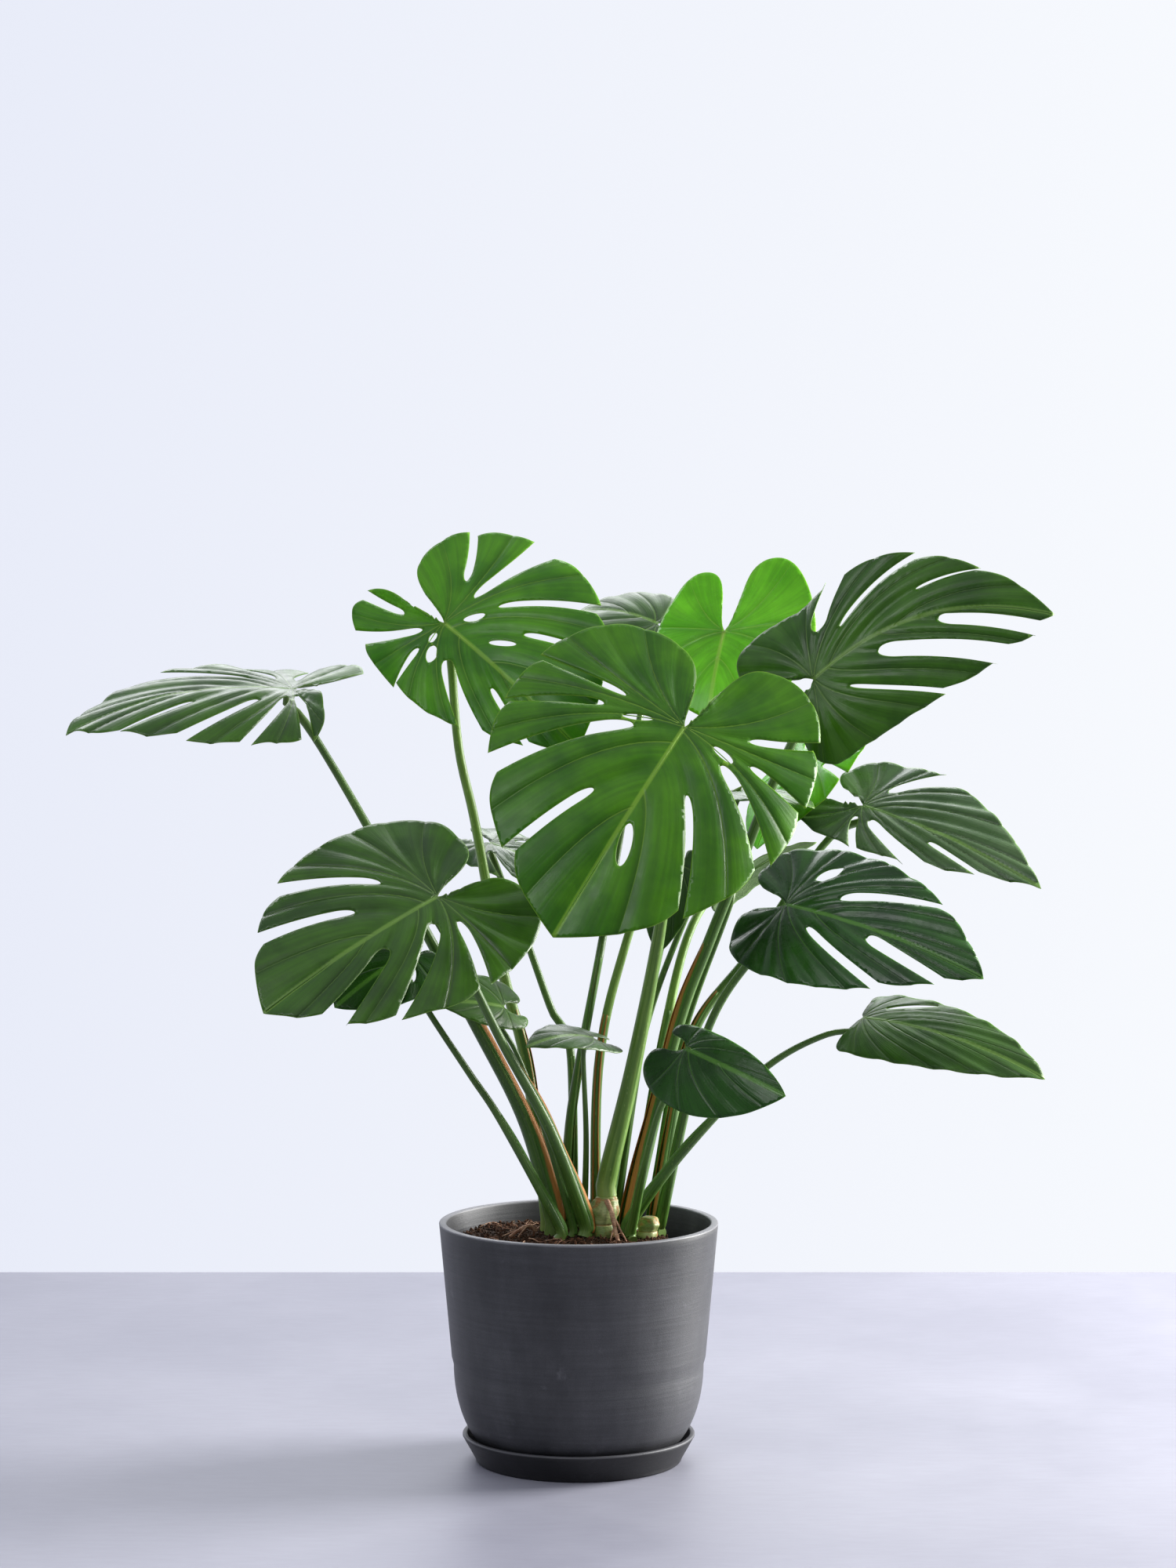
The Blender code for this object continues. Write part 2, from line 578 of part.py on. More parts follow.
def clearance(points: np.ndarray, ring: np.ndarray) -> np.ndarray:
    """The distance from each flat point to the nearest corner of a ring."""
    return np.sqrt(((points[:, None] - ring[None]) ** 2).sum(-1)).min(1)


def flat_blade(blade: Blade, step: float) -> Tuple[np.ndarray, List[Tuple[int, int, int]]]:
    """Fill a leaf's outline with triangles, leaving the holes open.

    Args:
        blade: The leaf blade.
        step: Spacing of the points.

    Returns:
        The flat points and the triangles between them.
    """
    edge = blade.outline(0.7 * step)
    holes = blade.holes(0.5 * step)
    rings = [edge] + holes
    low, high = edge.min(0), edge.max(0)
    rows = np.arange(low[1], high[1], step * 0.87)
    grid = [(x + (i % 2) * step / 2, y) for i, y in enumerate(rows) for x in np.arange(low[0], high[0], step)]
    grid = np.array(grid)
    keep = inside_polygon(grid, edge)
    for ring in holes:
        keep &= ~inside_polygon(grid, ring)
    for ring in rings:
        keep &= clearance(grid, ring) > 0.55 * step
    points = np.vstack(rings + [grid[keep]])
    loops = []
    first = 0
    for ring in rings:
        loops += [(first + i, first + (i + 1) % len(ring)) for i in range(len(ring))]
        first += len(ring)
    made = delaunay_2d_cdt([Vector(p) for p in points], loops, [], 0, 1e-5)
    flat = np.array([tuple(v) for v in made[0]])
    triangles = np.array([tuple(face) for face in made[2]])
    centres = flat[triangles].mean(1)
    solid = inside_polygon(centres, edge)
    for ring in holes:
        solid &= ~inside_polygon(centres, ring)
    return flat, [tuple(int(i) for i in face) for face in triangles[solid]]


def make_leaf(leaf: Leaf) -> None:
    """One blade and its stalk."""
    colour, roughness = FINISHES[leaf.finish]
    green = plain_material("leaf_" + leaf.finish, colour, roughness)
    blade = Blade(leaf)
    flat, triangles = flat_blade(blade, BLADE_STEP if blade.length > 160 else 0.8 * BLADE_STEP)
    used = sorted({corner for face in triangles for corner in face})
    number = {corner: i for i, corner in enumerate(used)}
    points = blade.place(flat[used]) * MM
    mesh = bpy.data.meshes.new("leaf_" + leaf.name)
    mesh.from_pydata(points.tolist(), [], [tuple(number[c] for c in face) for face in triangles])
    mesh.shade_smooth()
    obj = add_object("leaf_" + leaf.name, mesh, green)
    wall = obj.modifiers.new("thickness", "SOLIDIFY")
    wall.thickness = BLADE_THICKNESS * MM
    wall.offset = 0.0

    thick, thin = leaf.stalk
    end, up = blade.stalk_top(BLADE_THICKNESS / 2 + GAP + 0.4 * thin)
    foot = np.array(leaf.foot, float)
    bend = smooth_path([foot + (0, 0, STALK_RISE), *leaf.route, end - STALK_RISE * up], STALK_POINTS)
    path = np.vstack([foot, bend, end])
    share = np.concatenate([[0.0], np.linspace(0.03, 0.97, STALK_POINTS), [1.0]])
    radii = thin + (thick - thin) * (1 - share) ** 1.6
    make_rod("stalk_" + leaf.name, path, radii, plain_material("stalk_green", (0.140, 0.270, 0.040, 1), 0.4))


def main() -> None:
    """Build every piece."""
    clear_scene()
    make_saucer()
    make_pot()
    make_soil()
    for name, centre, radius, top in STEMS:
        make_stem(name, centre, radius, top)
    bark = plain_material("aerial_root", (0.260, 0.130, 0.070, 1), 0.7)
    for name, route, radius in ROOTS:
        path = smooth_path(list(route), 5)
        make_rod(name, path, np.linspace(radius, 0.7 * radius, 5), bark)
    for leaf in LEAVES:
        make_leaf(leaf)


main()
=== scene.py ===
"""The looks of a split-leaf plant of nineteen leaves in a round tapered pot with its saucer.

Blender 4.5 script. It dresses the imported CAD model: every solid there is replaced by a finely made piece in
the same place. Sizes are written in millimetres and multiplied by MM where the meshes are made.
"""

import logging
import math
from dataclasses import dataclass
from enum import Enum
from typing import Dict, List, Optional, Sequence, Tuple, Union

import bmesh
import bpy
import numpy as np
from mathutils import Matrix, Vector
from mathutils.geometry import delaunay_2d_cdt


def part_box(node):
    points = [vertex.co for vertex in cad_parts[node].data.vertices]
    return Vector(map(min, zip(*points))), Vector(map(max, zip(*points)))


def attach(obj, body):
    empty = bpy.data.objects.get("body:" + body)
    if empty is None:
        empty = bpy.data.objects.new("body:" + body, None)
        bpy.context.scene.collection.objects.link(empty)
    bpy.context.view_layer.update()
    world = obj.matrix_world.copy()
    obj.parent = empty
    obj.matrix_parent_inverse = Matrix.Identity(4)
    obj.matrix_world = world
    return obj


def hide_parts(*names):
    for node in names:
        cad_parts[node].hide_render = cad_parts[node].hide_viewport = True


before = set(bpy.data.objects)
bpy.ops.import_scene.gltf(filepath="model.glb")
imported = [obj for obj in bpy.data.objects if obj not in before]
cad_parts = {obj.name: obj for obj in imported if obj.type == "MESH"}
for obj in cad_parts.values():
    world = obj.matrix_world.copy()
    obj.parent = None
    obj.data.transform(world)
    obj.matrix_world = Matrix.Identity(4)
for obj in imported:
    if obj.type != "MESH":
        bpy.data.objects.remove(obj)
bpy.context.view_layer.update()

Point = Tuple[float, float, float]
Pair = Tuple[float, float]
Colour = Tuple[float, float, float, float]
Split = Tuple[float, float, float, float]
Socket = bpy.types.NodeSocket

MM = 0.001
BODY = "root"
log = logging.getLogger("plant")


class Side(Enum):
    """Which half of a leaf blade a point lies on, by the sign of its flat x."""

    RIGHT = 1.0
    LEFT = -1.0


class Bench:
    """A node tree that is laid out by code."""

    def __init__(self, tree: bpy.types.NodeTree) -> None:
        """Keep the tree."""
        self.tree = tree

    def add(self, kind: str, inputs: Optional[Dict] = None, **settings: object) -> bpy.types.Node:
        """Add one node.

        Args:
            kind: The node's type.
            inputs: Values or sockets for its inputs, by name or number.
            settings: The node's own options.

        Returns:
            The node.
        """
        node = self.tree.nodes.new(kind)
        for name, value in settings.items():
            setattr(node, name, value)
        for key, value in (inputs or {}).items():
            if isinstance(value, Socket):
                self.tree.links.new(value, node.inputs[key])
            else:
                node.inputs[key].default_value = value
        return node


class Paint(Bench):
    """A material's node tree, with short names for the patterns that the finishes share."""

    def __init__(self, name: str) -> None:
        """Start an empty material of that name."""
        self.material = bpy.data.materials.new(name)
        self.material.use_nodes = True
        super().__init__(self.material.node_tree)
        self.tree.nodes.clear()
        self.place = self.add("ShaderNodeTexCoord").outputs["Object"]

    def sum(self, operation: str, first: Union[Socket, float], second: Union[Socket, float] = 0.0) -> Socket:
        """One arithmetic step."""
        return self.add("ShaderNodeMath", {0: first, 1: second}, operation=operation).outputs[0]

    def split(self, vector: Socket) -> Tuple[Socket, Socket, Socket]:
        """The three parts of a vector."""
        parts = self.add("ShaderNodeSeparateXYZ", {0: vector}).outputs
        return parts[0], parts[1], parts[2]

    def join(self, x: Union[Socket, float], y: Union[Socket, float], z: Union[Socket, float] = 0.0) -> Socket:
        """A vector from its three parts."""
        return self.add("ShaderNodeCombineXYZ", {0: x, 1: y, 2: z}).outputs[0]

    def stretch(self, vector: Socket, scale: Point) -> Socket:
        """A vector with each part scaled."""
        return self.add("ShaderNodeVectorMath", {0: vector, 1: scale}, operation="MULTIPLY").outputs[0]

    def ramp(self, value: Socket, low: float, high: float, start: float = 0.0, end: float = 1.0) -> Socket:
        """Carry a value smoothly from one range to another, clamped at both ends."""
        return self.add("ShaderNodeMapRange", {0: value, 1: low, 2: high, 3: start, 4: end},
                        interpolation_type="SMOOTHSTEP").outputs[0]

    def noise(self, vector: Socket, scale: float, detail: float = 3.0, rough: float = 0.55) -> Socket:
        """Soft cloudy noise."""
        return self.add("ShaderNodeTexNoise",
                        {"Vector": vector, "Scale": scale, "Detail": detail, "Roughness": rough}).outputs["Fac"]

    def cells(self, vector: Socket, scale: float, feature: str = "F1") -> Socket:
        """Distance in a pattern of cells."""
        return self.add("ShaderNodeTexVoronoi", {"Vector": vector, "Scale": scale},
                        feature=feature).outputs["Distance"]

    def mix(self, share: Union[Socket, float], first: Union[Socket, Colour], second: Union[Socket, Colour],
            blend: str = "MIX") -> Socket:
        """Blend two colours."""
        return self.add("ShaderNodeMix", {0: share, 6: first, 7: second}, data_type="RGBA",
                        blend_type=blend).outputs[2]

    def shade(self, colour: Union[Socket, Colour], amount: Socket) -> Socket:
        """Darken or brighten a colour by a factor."""
        grey = self.join(amount, amount, amount)
        return self.mix(1.0, colour, grey, "MULTIPLY")

    def attribute(self, name: str) -> Socket:
        """A number stored on the mesh."""
        return self.add("ShaderNodeAttribute", attribute_name=name).outputs["Fac"]

    def vector(self, name: str) -> Socket:
        """A vector stored on the mesh."""
        return self.add("ShaderNodeAttribute", attribute_name=name).outputs["Vector"]

    def map(self, name: str) -> Tuple[Socket, Socket]:
        """The two numbers of one of the mesh's own maps."""
        u, v, _ = self.split(self.add("ShaderNodeUVMap", uv_map=name).outputs[0])
        return u, v

    def bump(self, height: Socket, depth: float, strength: float = 1.0, over: Optional[Socket] = None) -> Socket:
        """Turn a height into a surface normal; depth is in metres."""
        inputs = {"Height": height, "Distance": depth, "Strength": strength}
        if over is not None:
            inputs["Normal"] = over
        return self.add("ShaderNodeBump", inputs).outputs[0]

    def finish(self, colour: Union[Socket, Colour], roughness: Union[Socket, float], normal: Optional[Socket] = None,
               gloss: float = 0.5, coat: float = 0.0, coat_roughness: float = 0.2, sheen: float = 0.0,
               glow: Union[Socket, Colour, None] = None, glow_share: float = 0.0) -> bpy.types.Material:
        """Close the material.

        Args:
            colour: Surface colour.
            roughness: How matt it is.
            normal: Surface normal from the bumps.
            gloss: Specular level.
            coat: Share of clear waxy coat.
            coat_roughness: How matt the coat is.
            sheen: Share of dusty sheen.
            glow: Colour of the light that comes through.
            glow_share: How much light comes through.

        Returns:
            The finished material.
        """
        inputs = {"Base Color": colour, "Roughness": roughness, "Specular IOR Level": gloss, "Coat Weight": coat,
                  "Coat Roughness": coat_roughness, "Sheen Weight": sheen, "Sheen Roughness": 0.6}
        if normal is not None:
            inputs["Normal"] = normal
        shader = self.add("ShaderNodeBsdfPrincipled", inputs).outputs[0]
        if glow is not None:
            through = self.add("ShaderNodeBsdfTranslucent", {"Color": glow}).outputs[0]
            shader = self.add("ShaderNodeMixShader", {0: glow_share, 1: shader, 2: through}).outputs[0]
        self.add("ShaderNodeOutputMaterial", {"Surface": shader})
        return self.material


@dataclass(frozen=True)
class LeafFinish:
    """The skin of one kind of blade, some with painted light, shade and sheen in their greens: glossy above, paler and
    matt beneath.
    """

    name: str
    deep: Colour
    light: Colour
    glow: Colour
    roughness: float
    see_through: float
    vein: Colour = (0.20, 0.36, 0.07, 1)
    under: Colour = (0.16, 0.24, 0.10, 1)

    def skin(self, paint: Paint, deep: Colour, light: Colour, contrast: float) -> Tuple[Socket, Socket, Socket]:
        """Lay the pattern of veins over cloudy green.

        Args:
            paint: The material in the making.
            deep: The darker green.
            light: The lighter green.
            contrast: How much darker the blade is beside its veins; below 1 this paints shade into the grooves along
                them.

        Returns:
            The colour, the distance to the nearest side vein, and the fine grain between the veins.
        """
        phase, reach = paint.map("lie")
        cell, middle = paint.map("spread")
        share = paint.sum("ABSOLUTE", paint.sum("SUBTRACT", paint.sum("FRACT", phase), 0.5))
        near = paint.sum("MULTIPLY", share, cell)
        grain = paint.noise(paint.join(paint.sum("MULTIPLY", phase, 16.0), paint.sum("MULTIPLY", reach, 1.6)), 1.0)
        cloud = paint.ramp(paint.noise(paint.place, 16.0, 4.0), 0.32, 0.68)
        colour = paint.mix(cloud, deep, light)
        colour = paint.shade(colour, paint.ramp(grain, 0.3, 0.7, 0.86, 1.14))
        # Painted shade: the colour is darkened in the grooves beside each side vein.
        colour = paint.shade(colour, paint.ramp(near, 0.0006, 0.010, contrast, 1.06))
        colour = paint.shade(colour, paint.sum("ADD", 1.0, paint.sum("MULTIPLY", paint.attribute("tint"), 0.16)))
        width = paint.sum("MULTIPLY", paint.sum("SUBTRACT", 1.15, reach), 0.00075)
        line = paint.ramp(paint.sum("DIVIDE", near, width), 0.6, 1.5, 0.38, 0.0)
        line = paint.sum("MULTIPLY", line, paint.ramp(share, 0.08, 0.2, 1.0, 0.0))
        colour = paint.mix(line, colour, self.vein)
        colour = paint.mix(paint.ramp(middle, 0.0012, 0.0034, 0.65, 0.0), colour, self.vein)
        colour = paint.mix(paint.ramp(paint.attribute("margin"), 0.3, 1.1, 0.55, 0.0), colour, self.vein)
        return colour, near, grain

    def face(self) -> bpy.types.Material:
        """The upper skin."""
        paint = Paint(self.name + "_face")
        # 0.80 paints shade into the grooves beside the side veins.
        colour, near, grain = self.skin(paint, self.deep, self.light, 0.80)
        wax = paint.noise(paint.place, 55.0, 3.0)
        roughness = paint.ramp(wax, 0.3, 0.7, self.roughness - 0.06, self.roughness + 0.08)
        normal = paint.bump(paint.noise(paint.place, 420.0, 2.0), 0.0002, 0.35)
        normal = paint.bump(grain, 0.0007, 0.5, normal)
        normal = paint.bump(paint.ramp(near, 0.0, 0.0028), 0.0006, 0.8, normal)
        glow = paint.mix(0.5, self.glow, colour)
        return paint.finish(colour, roughness, normal, gloss=0.33, coat=0.05, coat_roughness=0.20, glow=glow,
                            glow_share=self.see_through)

    def underside(self) -> bpy.types.Material:
        """The lower skin: greyer, matt, with the fine net of veins standing out."""
        paint = Paint(self.name + "_underside")
        pale = tuple(0.5 * (a + b) for a, b in zip(self.under, self.light))
        colour, near, grain = self.skin(paint, pale, self.under, 1.1)
        net = paint.cells(paint.place, 210.0, "DISTANCE_TO_EDGE")
        colour = paint.shade(colour, paint.ramp(net, 0.02, 0.12, 1.1, 1.0))
        normal = paint.bump(paint.ramp(net, 0.0, 0.15, 1.0, 0.0), 0.0003, 0.5)
        normal = paint.bump(grain, 0.0005, 0.4, normal)
        glow = paint.mix(0.5, self.glow, colour)
        return paint.finish(colour, 0.58, normal, gloss=0.35, glow=glow, glow_share=self.see_through)

    def rib(self) -> bpy.types.Material:
        """The midrib and the side veins: pale, with faint lengthwise streaks."""
        paint = Paint(self.name + "_rib")
        streak = paint.noise(paint.stretch(paint.vector("ring"), (3.0, 3.0, 1.0)), 2.0)
        colour = paint.mix(paint.attribute("along"), self.vein, self.light)
        colour = paint.mix(paint.ramp(paint.noise(paint.place, 60.0), 0.35, 0.7, 0.0, 0.35), colour, self.deep)
        colour = paint.shade(colour, paint.ramp(streak, 0.3, 0.7, 0.88, 1.12))
        return paint.finish(colour, 0.4, paint.bump(streak, 0.0003, 0.4), glow=self.glow, glow_share=0.15)


@dataclass(frozen=True)
class StalkFinish:
    """A smooth fleshy stalk: fresh green, paler at its foot and joint, with fine lengthwise streaks."""

    name: str
    deep: Colour
    light: Colour
    pale: Colour

    def material(self) -> bpy.types.Material:
        """Mix the stalk's green."""
        paint = Paint(self.name)
        along = paint.attribute("along")
        ring = paint.stretch(paint.vector("ring"), (1.0, 1.0, 1.0))
        x, y, _ = paint.split(ring)
        streak = paint.noise(paint.join(x, y, paint.sum("MULTIPLY", along, 1.2)), 4.5, 4.0)
        blotch = paint.noise(paint.stretch(paint.place, (1.0, 1.0, 0.35)), 34.0, 4.0)
        colour = paint.mix(paint.ramp(streak, 0.3, 0.7), self.deep, self.light)
        colour = paint.shade(colour, paint.ramp(blotch, 0.3, 0.7, 0.84, 1.14))
        ends = paint.sum("MAXIMUM", paint.ramp(along, 0.0, 0.06, 0.45, 0.0), paint.ramp(along, 0.90, 1.0, 0.0, 0.5))
        colour = paint.mix(ends, colour, self.pale)
        specks = paint.ramp(paint.cells(paint.stretch(paint.place, (1.0, 1.0, 0.4)), 260.0), 0.10, 0.22, 0.35, 0.0)
        colour = paint.mix(specks, colour, self.pale)
        normal = paint.bump(streak, 0.0006, 0.45)
        normal = paint.bump(paint.noise(paint.place, 500.0), 0.0002, 0.3, normal)
        roughness = paint.ramp(blotch, 0.3, 0.7, 0.34, 0.46)
        return paint.finish(colour, roughness, normal, coat=0.1, coat_roughness=0.25, glow=self.light, glow_share=0.06)


@dataclass(frozen=True)
class SheathFinish:
    """The thin wings that wrap a stalk's foot: green, drying to papery brown along the free edge."""

    name: str
    fresh: Colour = (0.10, 0.24, 0.035, 1)
    dry: Colour = (0.52, 0.22, 0.05, 1)
    dead: Colour = (0.13, 0.055, 0.022, 1)

    def material(self) -> bpy.types.Material:
        """Mix the sheath's colours from its own map: u along the stalk and v out to the free edge."""
        paint = Paint(self.name)
        u, v = paint.map("lie")
        ragged = paint.noise(paint.join(paint.sum("MULTIPLY", u, 14.0), v), 1.0, 5.0)
        fibre = paint.noise(paint.join(paint.sum("MULTIPLY", u, 3.0), paint.sum("MULTIPLY", v, 12.0)), 1.0, 4.0)
        edge = paint.sum("ADD", v, paint.sum("MULTIPLY", paint.sum("SUBTRACT", ragged, 0.5), 0.7))
        edge = paint.sum("ADD", edge, paint.sum("MULTIPLY", paint.attribute("dryness"), 0.75))
        colour = paint.mix(paint.ramp(edge, 1.0, 1.2), self.fresh, self.dry)
        colour = paint.mix(paint.ramp(edge, 1.6, 1.9, 0.0, 0.6), colour, self.dead)
        colour = paint.shade(colour, paint.ramp(fibre, 0.3, 0.7, 0.75, 1.2))
        normal = paint.bump(fibre, 0.0008, 0.6)
        return paint.finish(colour, 0.55, normal, gloss=0.35, glow=colour, glow_share=0.25)


@dataclass(frozen=True)
class StemFinish:
    """The knotted stem: green flesh with tan leaf scars and corky patches."""

    name: str
    flesh: Colour = (0.17, 0.25, 0.055, 1)
    pale: Colour = (0.36, 0.40, 0.16, 1)
    scar: Colour = (0.36, 0.16, 0.05, 1)

    def material(self) -> bpy.types.Material:
        """Mix the stem's colours."""
        paint = Paint(self.name)
        patch = paint.noise(paint.place, 42.0, 5.0)
        ring = paint.attribute("scar")
        colour = paint.mix(paint.ramp(patch, 0.38, 0.62), self.flesh, self.pale)
        corky = paint.sum("MAXIMUM", paint.ramp(paint.noise(paint.place, 75.0, 5.0), 0.56, 0.66, 0.0, 0.9), ring)
        colour = paint.mix(corky, colour, self.scar)
        grain = paint.noise(paint.stretch(paint.place, (1.0, 1.0, 3.0)), 260.0, 4.0)
        colour = paint.shade(colour, paint.ramp(grain, 0.3, 0.7, 0.8, 1.15))
        normal = paint.bump(grain, 0.0008, 0.5)
        normal = paint.bump(patch, 0.002, 0.5, normal)
        return paint.finish(colour, paint.ramp(corky, 0.0, 1.0, 0.42, 0.75), normal)


@dataclass(frozen=True)
class RootFinish:
    """Aerial roots: pinkish brown bark, wrinkled across, with a paler growing end."""

    name: str
    bark: Colour = (0.24, 0.11, 0.065, 1)
    tan: Colour = (0.50, 0.31, 0.20, 1)

    def material(self) -> bpy.types.Material:
        """Mix the root's colours."""
        paint = Paint(self.name)
        wrinkle = paint.noise(paint.stretch(paint.place, (1.0, 1.0, 4.0)), 240.0, 4.0)
        patch = paint.noise(paint.place, 90.0, 4.0)
        colour = paint.mix(paint.ramp(patch, 0.35, 0.65), self.bark, self.tan)
        colour = paint.shade(colour, paint.ramp(wrinkle, 0.3, 0.7, 0.7, 1.2))
        return paint.finish(colour, 0.78, paint.bump(wrinkle, 0.0010, 0.7), gloss=0.3)


@dataclass(frozen=True)
class EarthFinish:
    """Potting mix, bark chips or grit: crumbly, matt, each crumb a shade of its own."""

    name: str
    dark: Colour
    middle: Colour
    light: Colour
    scale: float

    def material(self) -> bpy.types.Material:
        """Mix the earth's colours."""
        paint = Paint(self.name)
        clods = paint.noise(paint.place, self.scale, 6.0, 0.7)
        fine = paint.noise(paint.place, self.scale * 9.0, 4.0, 0.7)
        colour = paint.mix(paint.ramp(clods, 0.35, 0.6), self.dark, self.middle)
        colour = paint.mix(paint.ramp(fine, 0.52, 0.75), colour, self.light)
        normal = paint.bump(fine, 0.0014, 0.8)
        normal = paint.bump(clods, 0.004, 0.7, normal)
        return paint.finish(colour, paint.ramp(clods, 0.3, 0.7, 0.82, 0.98), normal, gloss=0.2)


@dataclass(frozen=True)
class ClayFinish:
    """Matt charcoal ware: cloudy tone, faint turning lines, fine grit, dusty patches, and a paler band along the top of
    the lip.
    """

    name: str
    dark: Colour
    light: Colour
    pale_lip_and_dust: Colour
    rim_height: float
    roughness: float

    def material(self) -> bpy.types.Material:
        """Mix the ware's colours."""
        paint = Paint(self.name)
        _, _, z = paint.split(paint.place)
        cloud = paint.noise(paint.stretch(paint.place, (1.0, 1.0, 0.6)), 9.0, 5.0, 0.6)
        lines = paint.noise(paint.stretch(paint.place, (0.25, 0.25, 6.0)), 48.0, 4.0, 0.6)
        wipes = paint.noise(paint.stretch(paint.place, (1.0, 1.0, 0.12)), 70.0, 4.0, 0.6)
        grit = paint.noise(paint.place, 900.0, 3.0, 0.7)
        colour = paint.mix(paint.ramp(cloud, 0.30, 0.70), self.dark, self.light)
        colour = paint.shade(colour, paint.ramp(lines, 0.3, 0.7, 0.90, 1.10))
        colour = paint.shade(colour, paint.ramp(wipes, 0.3, 0.72, 0.93, 1.08))
        colour = paint.shade(colour, paint.ramp(grit, 0.3, 0.7, 0.88, 1.12))
        # The top of the lip, a band about two millimetres deep, is mixed towards the pale colour.
        lip_line = paint.sum("ADD", z, paint.sum("MULTIPLY", paint.sum("SUBTRACT", cloud, 0.5), 0.004))
        colour = paint.mix(paint.ramp(lip_line, self.rim_height - 0.0028, self.rim_height - 0.0008, 0.0, 0.8), colour,
                           self.pale_lip_and_dust)
        dust = paint.ramp(paint.noise(paint.place, 31.0, 6.0, 0.7), 0.60, 0.78, 0.0, 0.35)
        colour = paint.mix(dust, colour, self.pale_lip_and_dust)
        normal = paint.bump(grit, 0.0003, 0.5)
        normal = paint.bump(lines, 0.0006, 0.35, normal)
        roughness = paint.ramp(cloud, 0.3, 0.7, self.roughness - 0.07, self.roughness + 0.07)
        return paint.finish(colour, roughness, normal, gloss=0.45)


@dataclass(frozen=True)
class FloorFinish:
    """A pale cool floor with soft cloudy wear."""

    name: str
    dark: Colour
    light: Colour

    def material(self) -> bpy.types.Material:
        """Mix the floor's colours."""
        paint = Paint(self.name)
        cloud = paint.noise(paint.place, 2.2, 6.0, 0.6)
        scuff = paint.noise(paint.stretch(paint.place, (1.0, 4.0, 1.0)), 24.0, 5.0, 0.65)
        colour = paint.mix(paint.ramp(cloud, 0.3, 0.7), self.dark, self.light)
        colour = paint.shade(colour, paint.ramp(scuff, 0.3, 0.7, 0.97, 1.03))
        return paint.finish(colour, paint.ramp(cloud, 0.3, 0.7, 0.38, 0.5), paint.bump(scuff, 0.0004, 0.2))


LEAF_FINISHES = {
    "mature": LeafFinish("mature", (0.018, 0.066, 0.002, 1), (0.040, 0.125, 0.004, 1), (0.12, 0.42, 0.01, 1),
                         0.34, 0.16, vein=(0.17, 0.32, 0.05, 1)),
    # The next finish is a lit copy: painted light, the glow of the back-lit front leaves, brightens its greens.
    "bright": LeafFinish("bright", (0.030, 0.130, 0.0005, 1), (0.075, 0.245, 0.002, 1), (0.18, 0.62, 0.002, 1),
                         0.36, 0.30, vein=(0.26, 0.48, 0.04, 1)),
    # The next finish is a shaded copy: painted shade darkens the greens of leaves that hang in shade.
    "dark": LeafFinish("dark", (0.005, 0.034, 0.001, 1), (0.014, 0.072, 0.003, 1), (0.06, 0.34, 0.005, 1),
                       0.27, 0.12, vein=(0.10, 0.27, 0.03, 1)),
    # The next finish is partly the lighter yellow-green of young leaves and partly their back-lit glow, painted into
    # the greens.
    "young": LeafFinish("young", (0.090, 0.280, 0.004, 1), (0.160, 0.430, 0.016, 1), (0.30, 0.80, 0.01, 1),
                        0.22, 0.38, vein=(0.40, 0.62, 0.08, 1), under=(0.22, 0.42, 0.08, 1)),
    # The next finish paints the grey sheen that leaves seen at a grazing angle reflect from the bright wall into greyer
    # greens.
    "silvery": LeafFinish("silvery", (0.036, 0.090, 0.022, 1), (0.080, 0.150, 0.052, 1), (0.10, 0.36, 0.03, 1),
                          0.30, 0.14),
}


class Growth(Bench):
    """A Geometry Nodes tree with named inputs that turns a simple guide mesh into a finished piece."""

    def __init__(self, name: str) -> None:
        """Start a tree with a guide mesh going in and a finished mesh coming out."""
        super().__init__(bpy.data.node_groups.new(name, "GeometryNodeTree"))
        self.tree.interface.new_socket("Guide", in_out="INPUT", socket_type="NodeSocketGeometry")
        self.tree.interface.new_socket("Piece", in_out="OUTPUT", socket_type="NodeSocketGeometry")
        self.entry = self.add("NodeGroupInput")

    def offer(self, name: str, kind: str) -> Socket:
        """Add a named input and return the socket that carries it."""
        self.tree.interface.new_socket(name, in_out="INPUT", socket_type=kind)
        return self.entry.outputs[name]

    def close(self, geometry: Socket, finish: Socket) -> None:
        """End the tree: shade smooth, make everything real and give it its material."""
        smooth = self.add("GeometryNodeSetShadeSmooth", {"Geometry": geometry}).outputs[0]
        real = self.add("GeometryNodeRealizeInstances", {"Geometry": smooth}).outputs[0]
        dressed = self.add("GeometryNodeSetMaterial", {"Geometry": real, "Material": finish}).outputs[0]
        self.add("NodeGroupOutput", {"Piece": dressed})

    def grow(self, name: str, guide: bpy.types.Mesh, **values: object) -> bpy.types.Object:
        """Run the tree on a guide mesh and keep the plain result.

        Args:
            name: The finished piece's name.
            guide: The mesh that the tree follows.
            values: The tree's inputs, with _ for a space.

        Returns:
            The finished piece, with no modifier left on it.
        """
        former = bpy.data.objects.new(name + "_guide", guide)
        bpy.context.scene.collection.objects.link(former)
        modifier = former.modifiers.new("growth", "NODES")
        modifier.node_group = self.tree
        sockets = {item.name: item.identifier for item in self.tree.interface.items_tree if item.in_out == "INPUT"}
        for key, value in values.items():
            modifier[sockets[key.replace("_", " ")]] = value
        grown = former.evaluated_get(bpy.context.evaluated_depsgraph_get())
        mesh = bpy.data.meshes.new_from_object(grown)
        mesh.name = name
        former.modifiers.remove(modifier)
        bpy.data.objects.remove(former)
        return add_object(name, mesh)


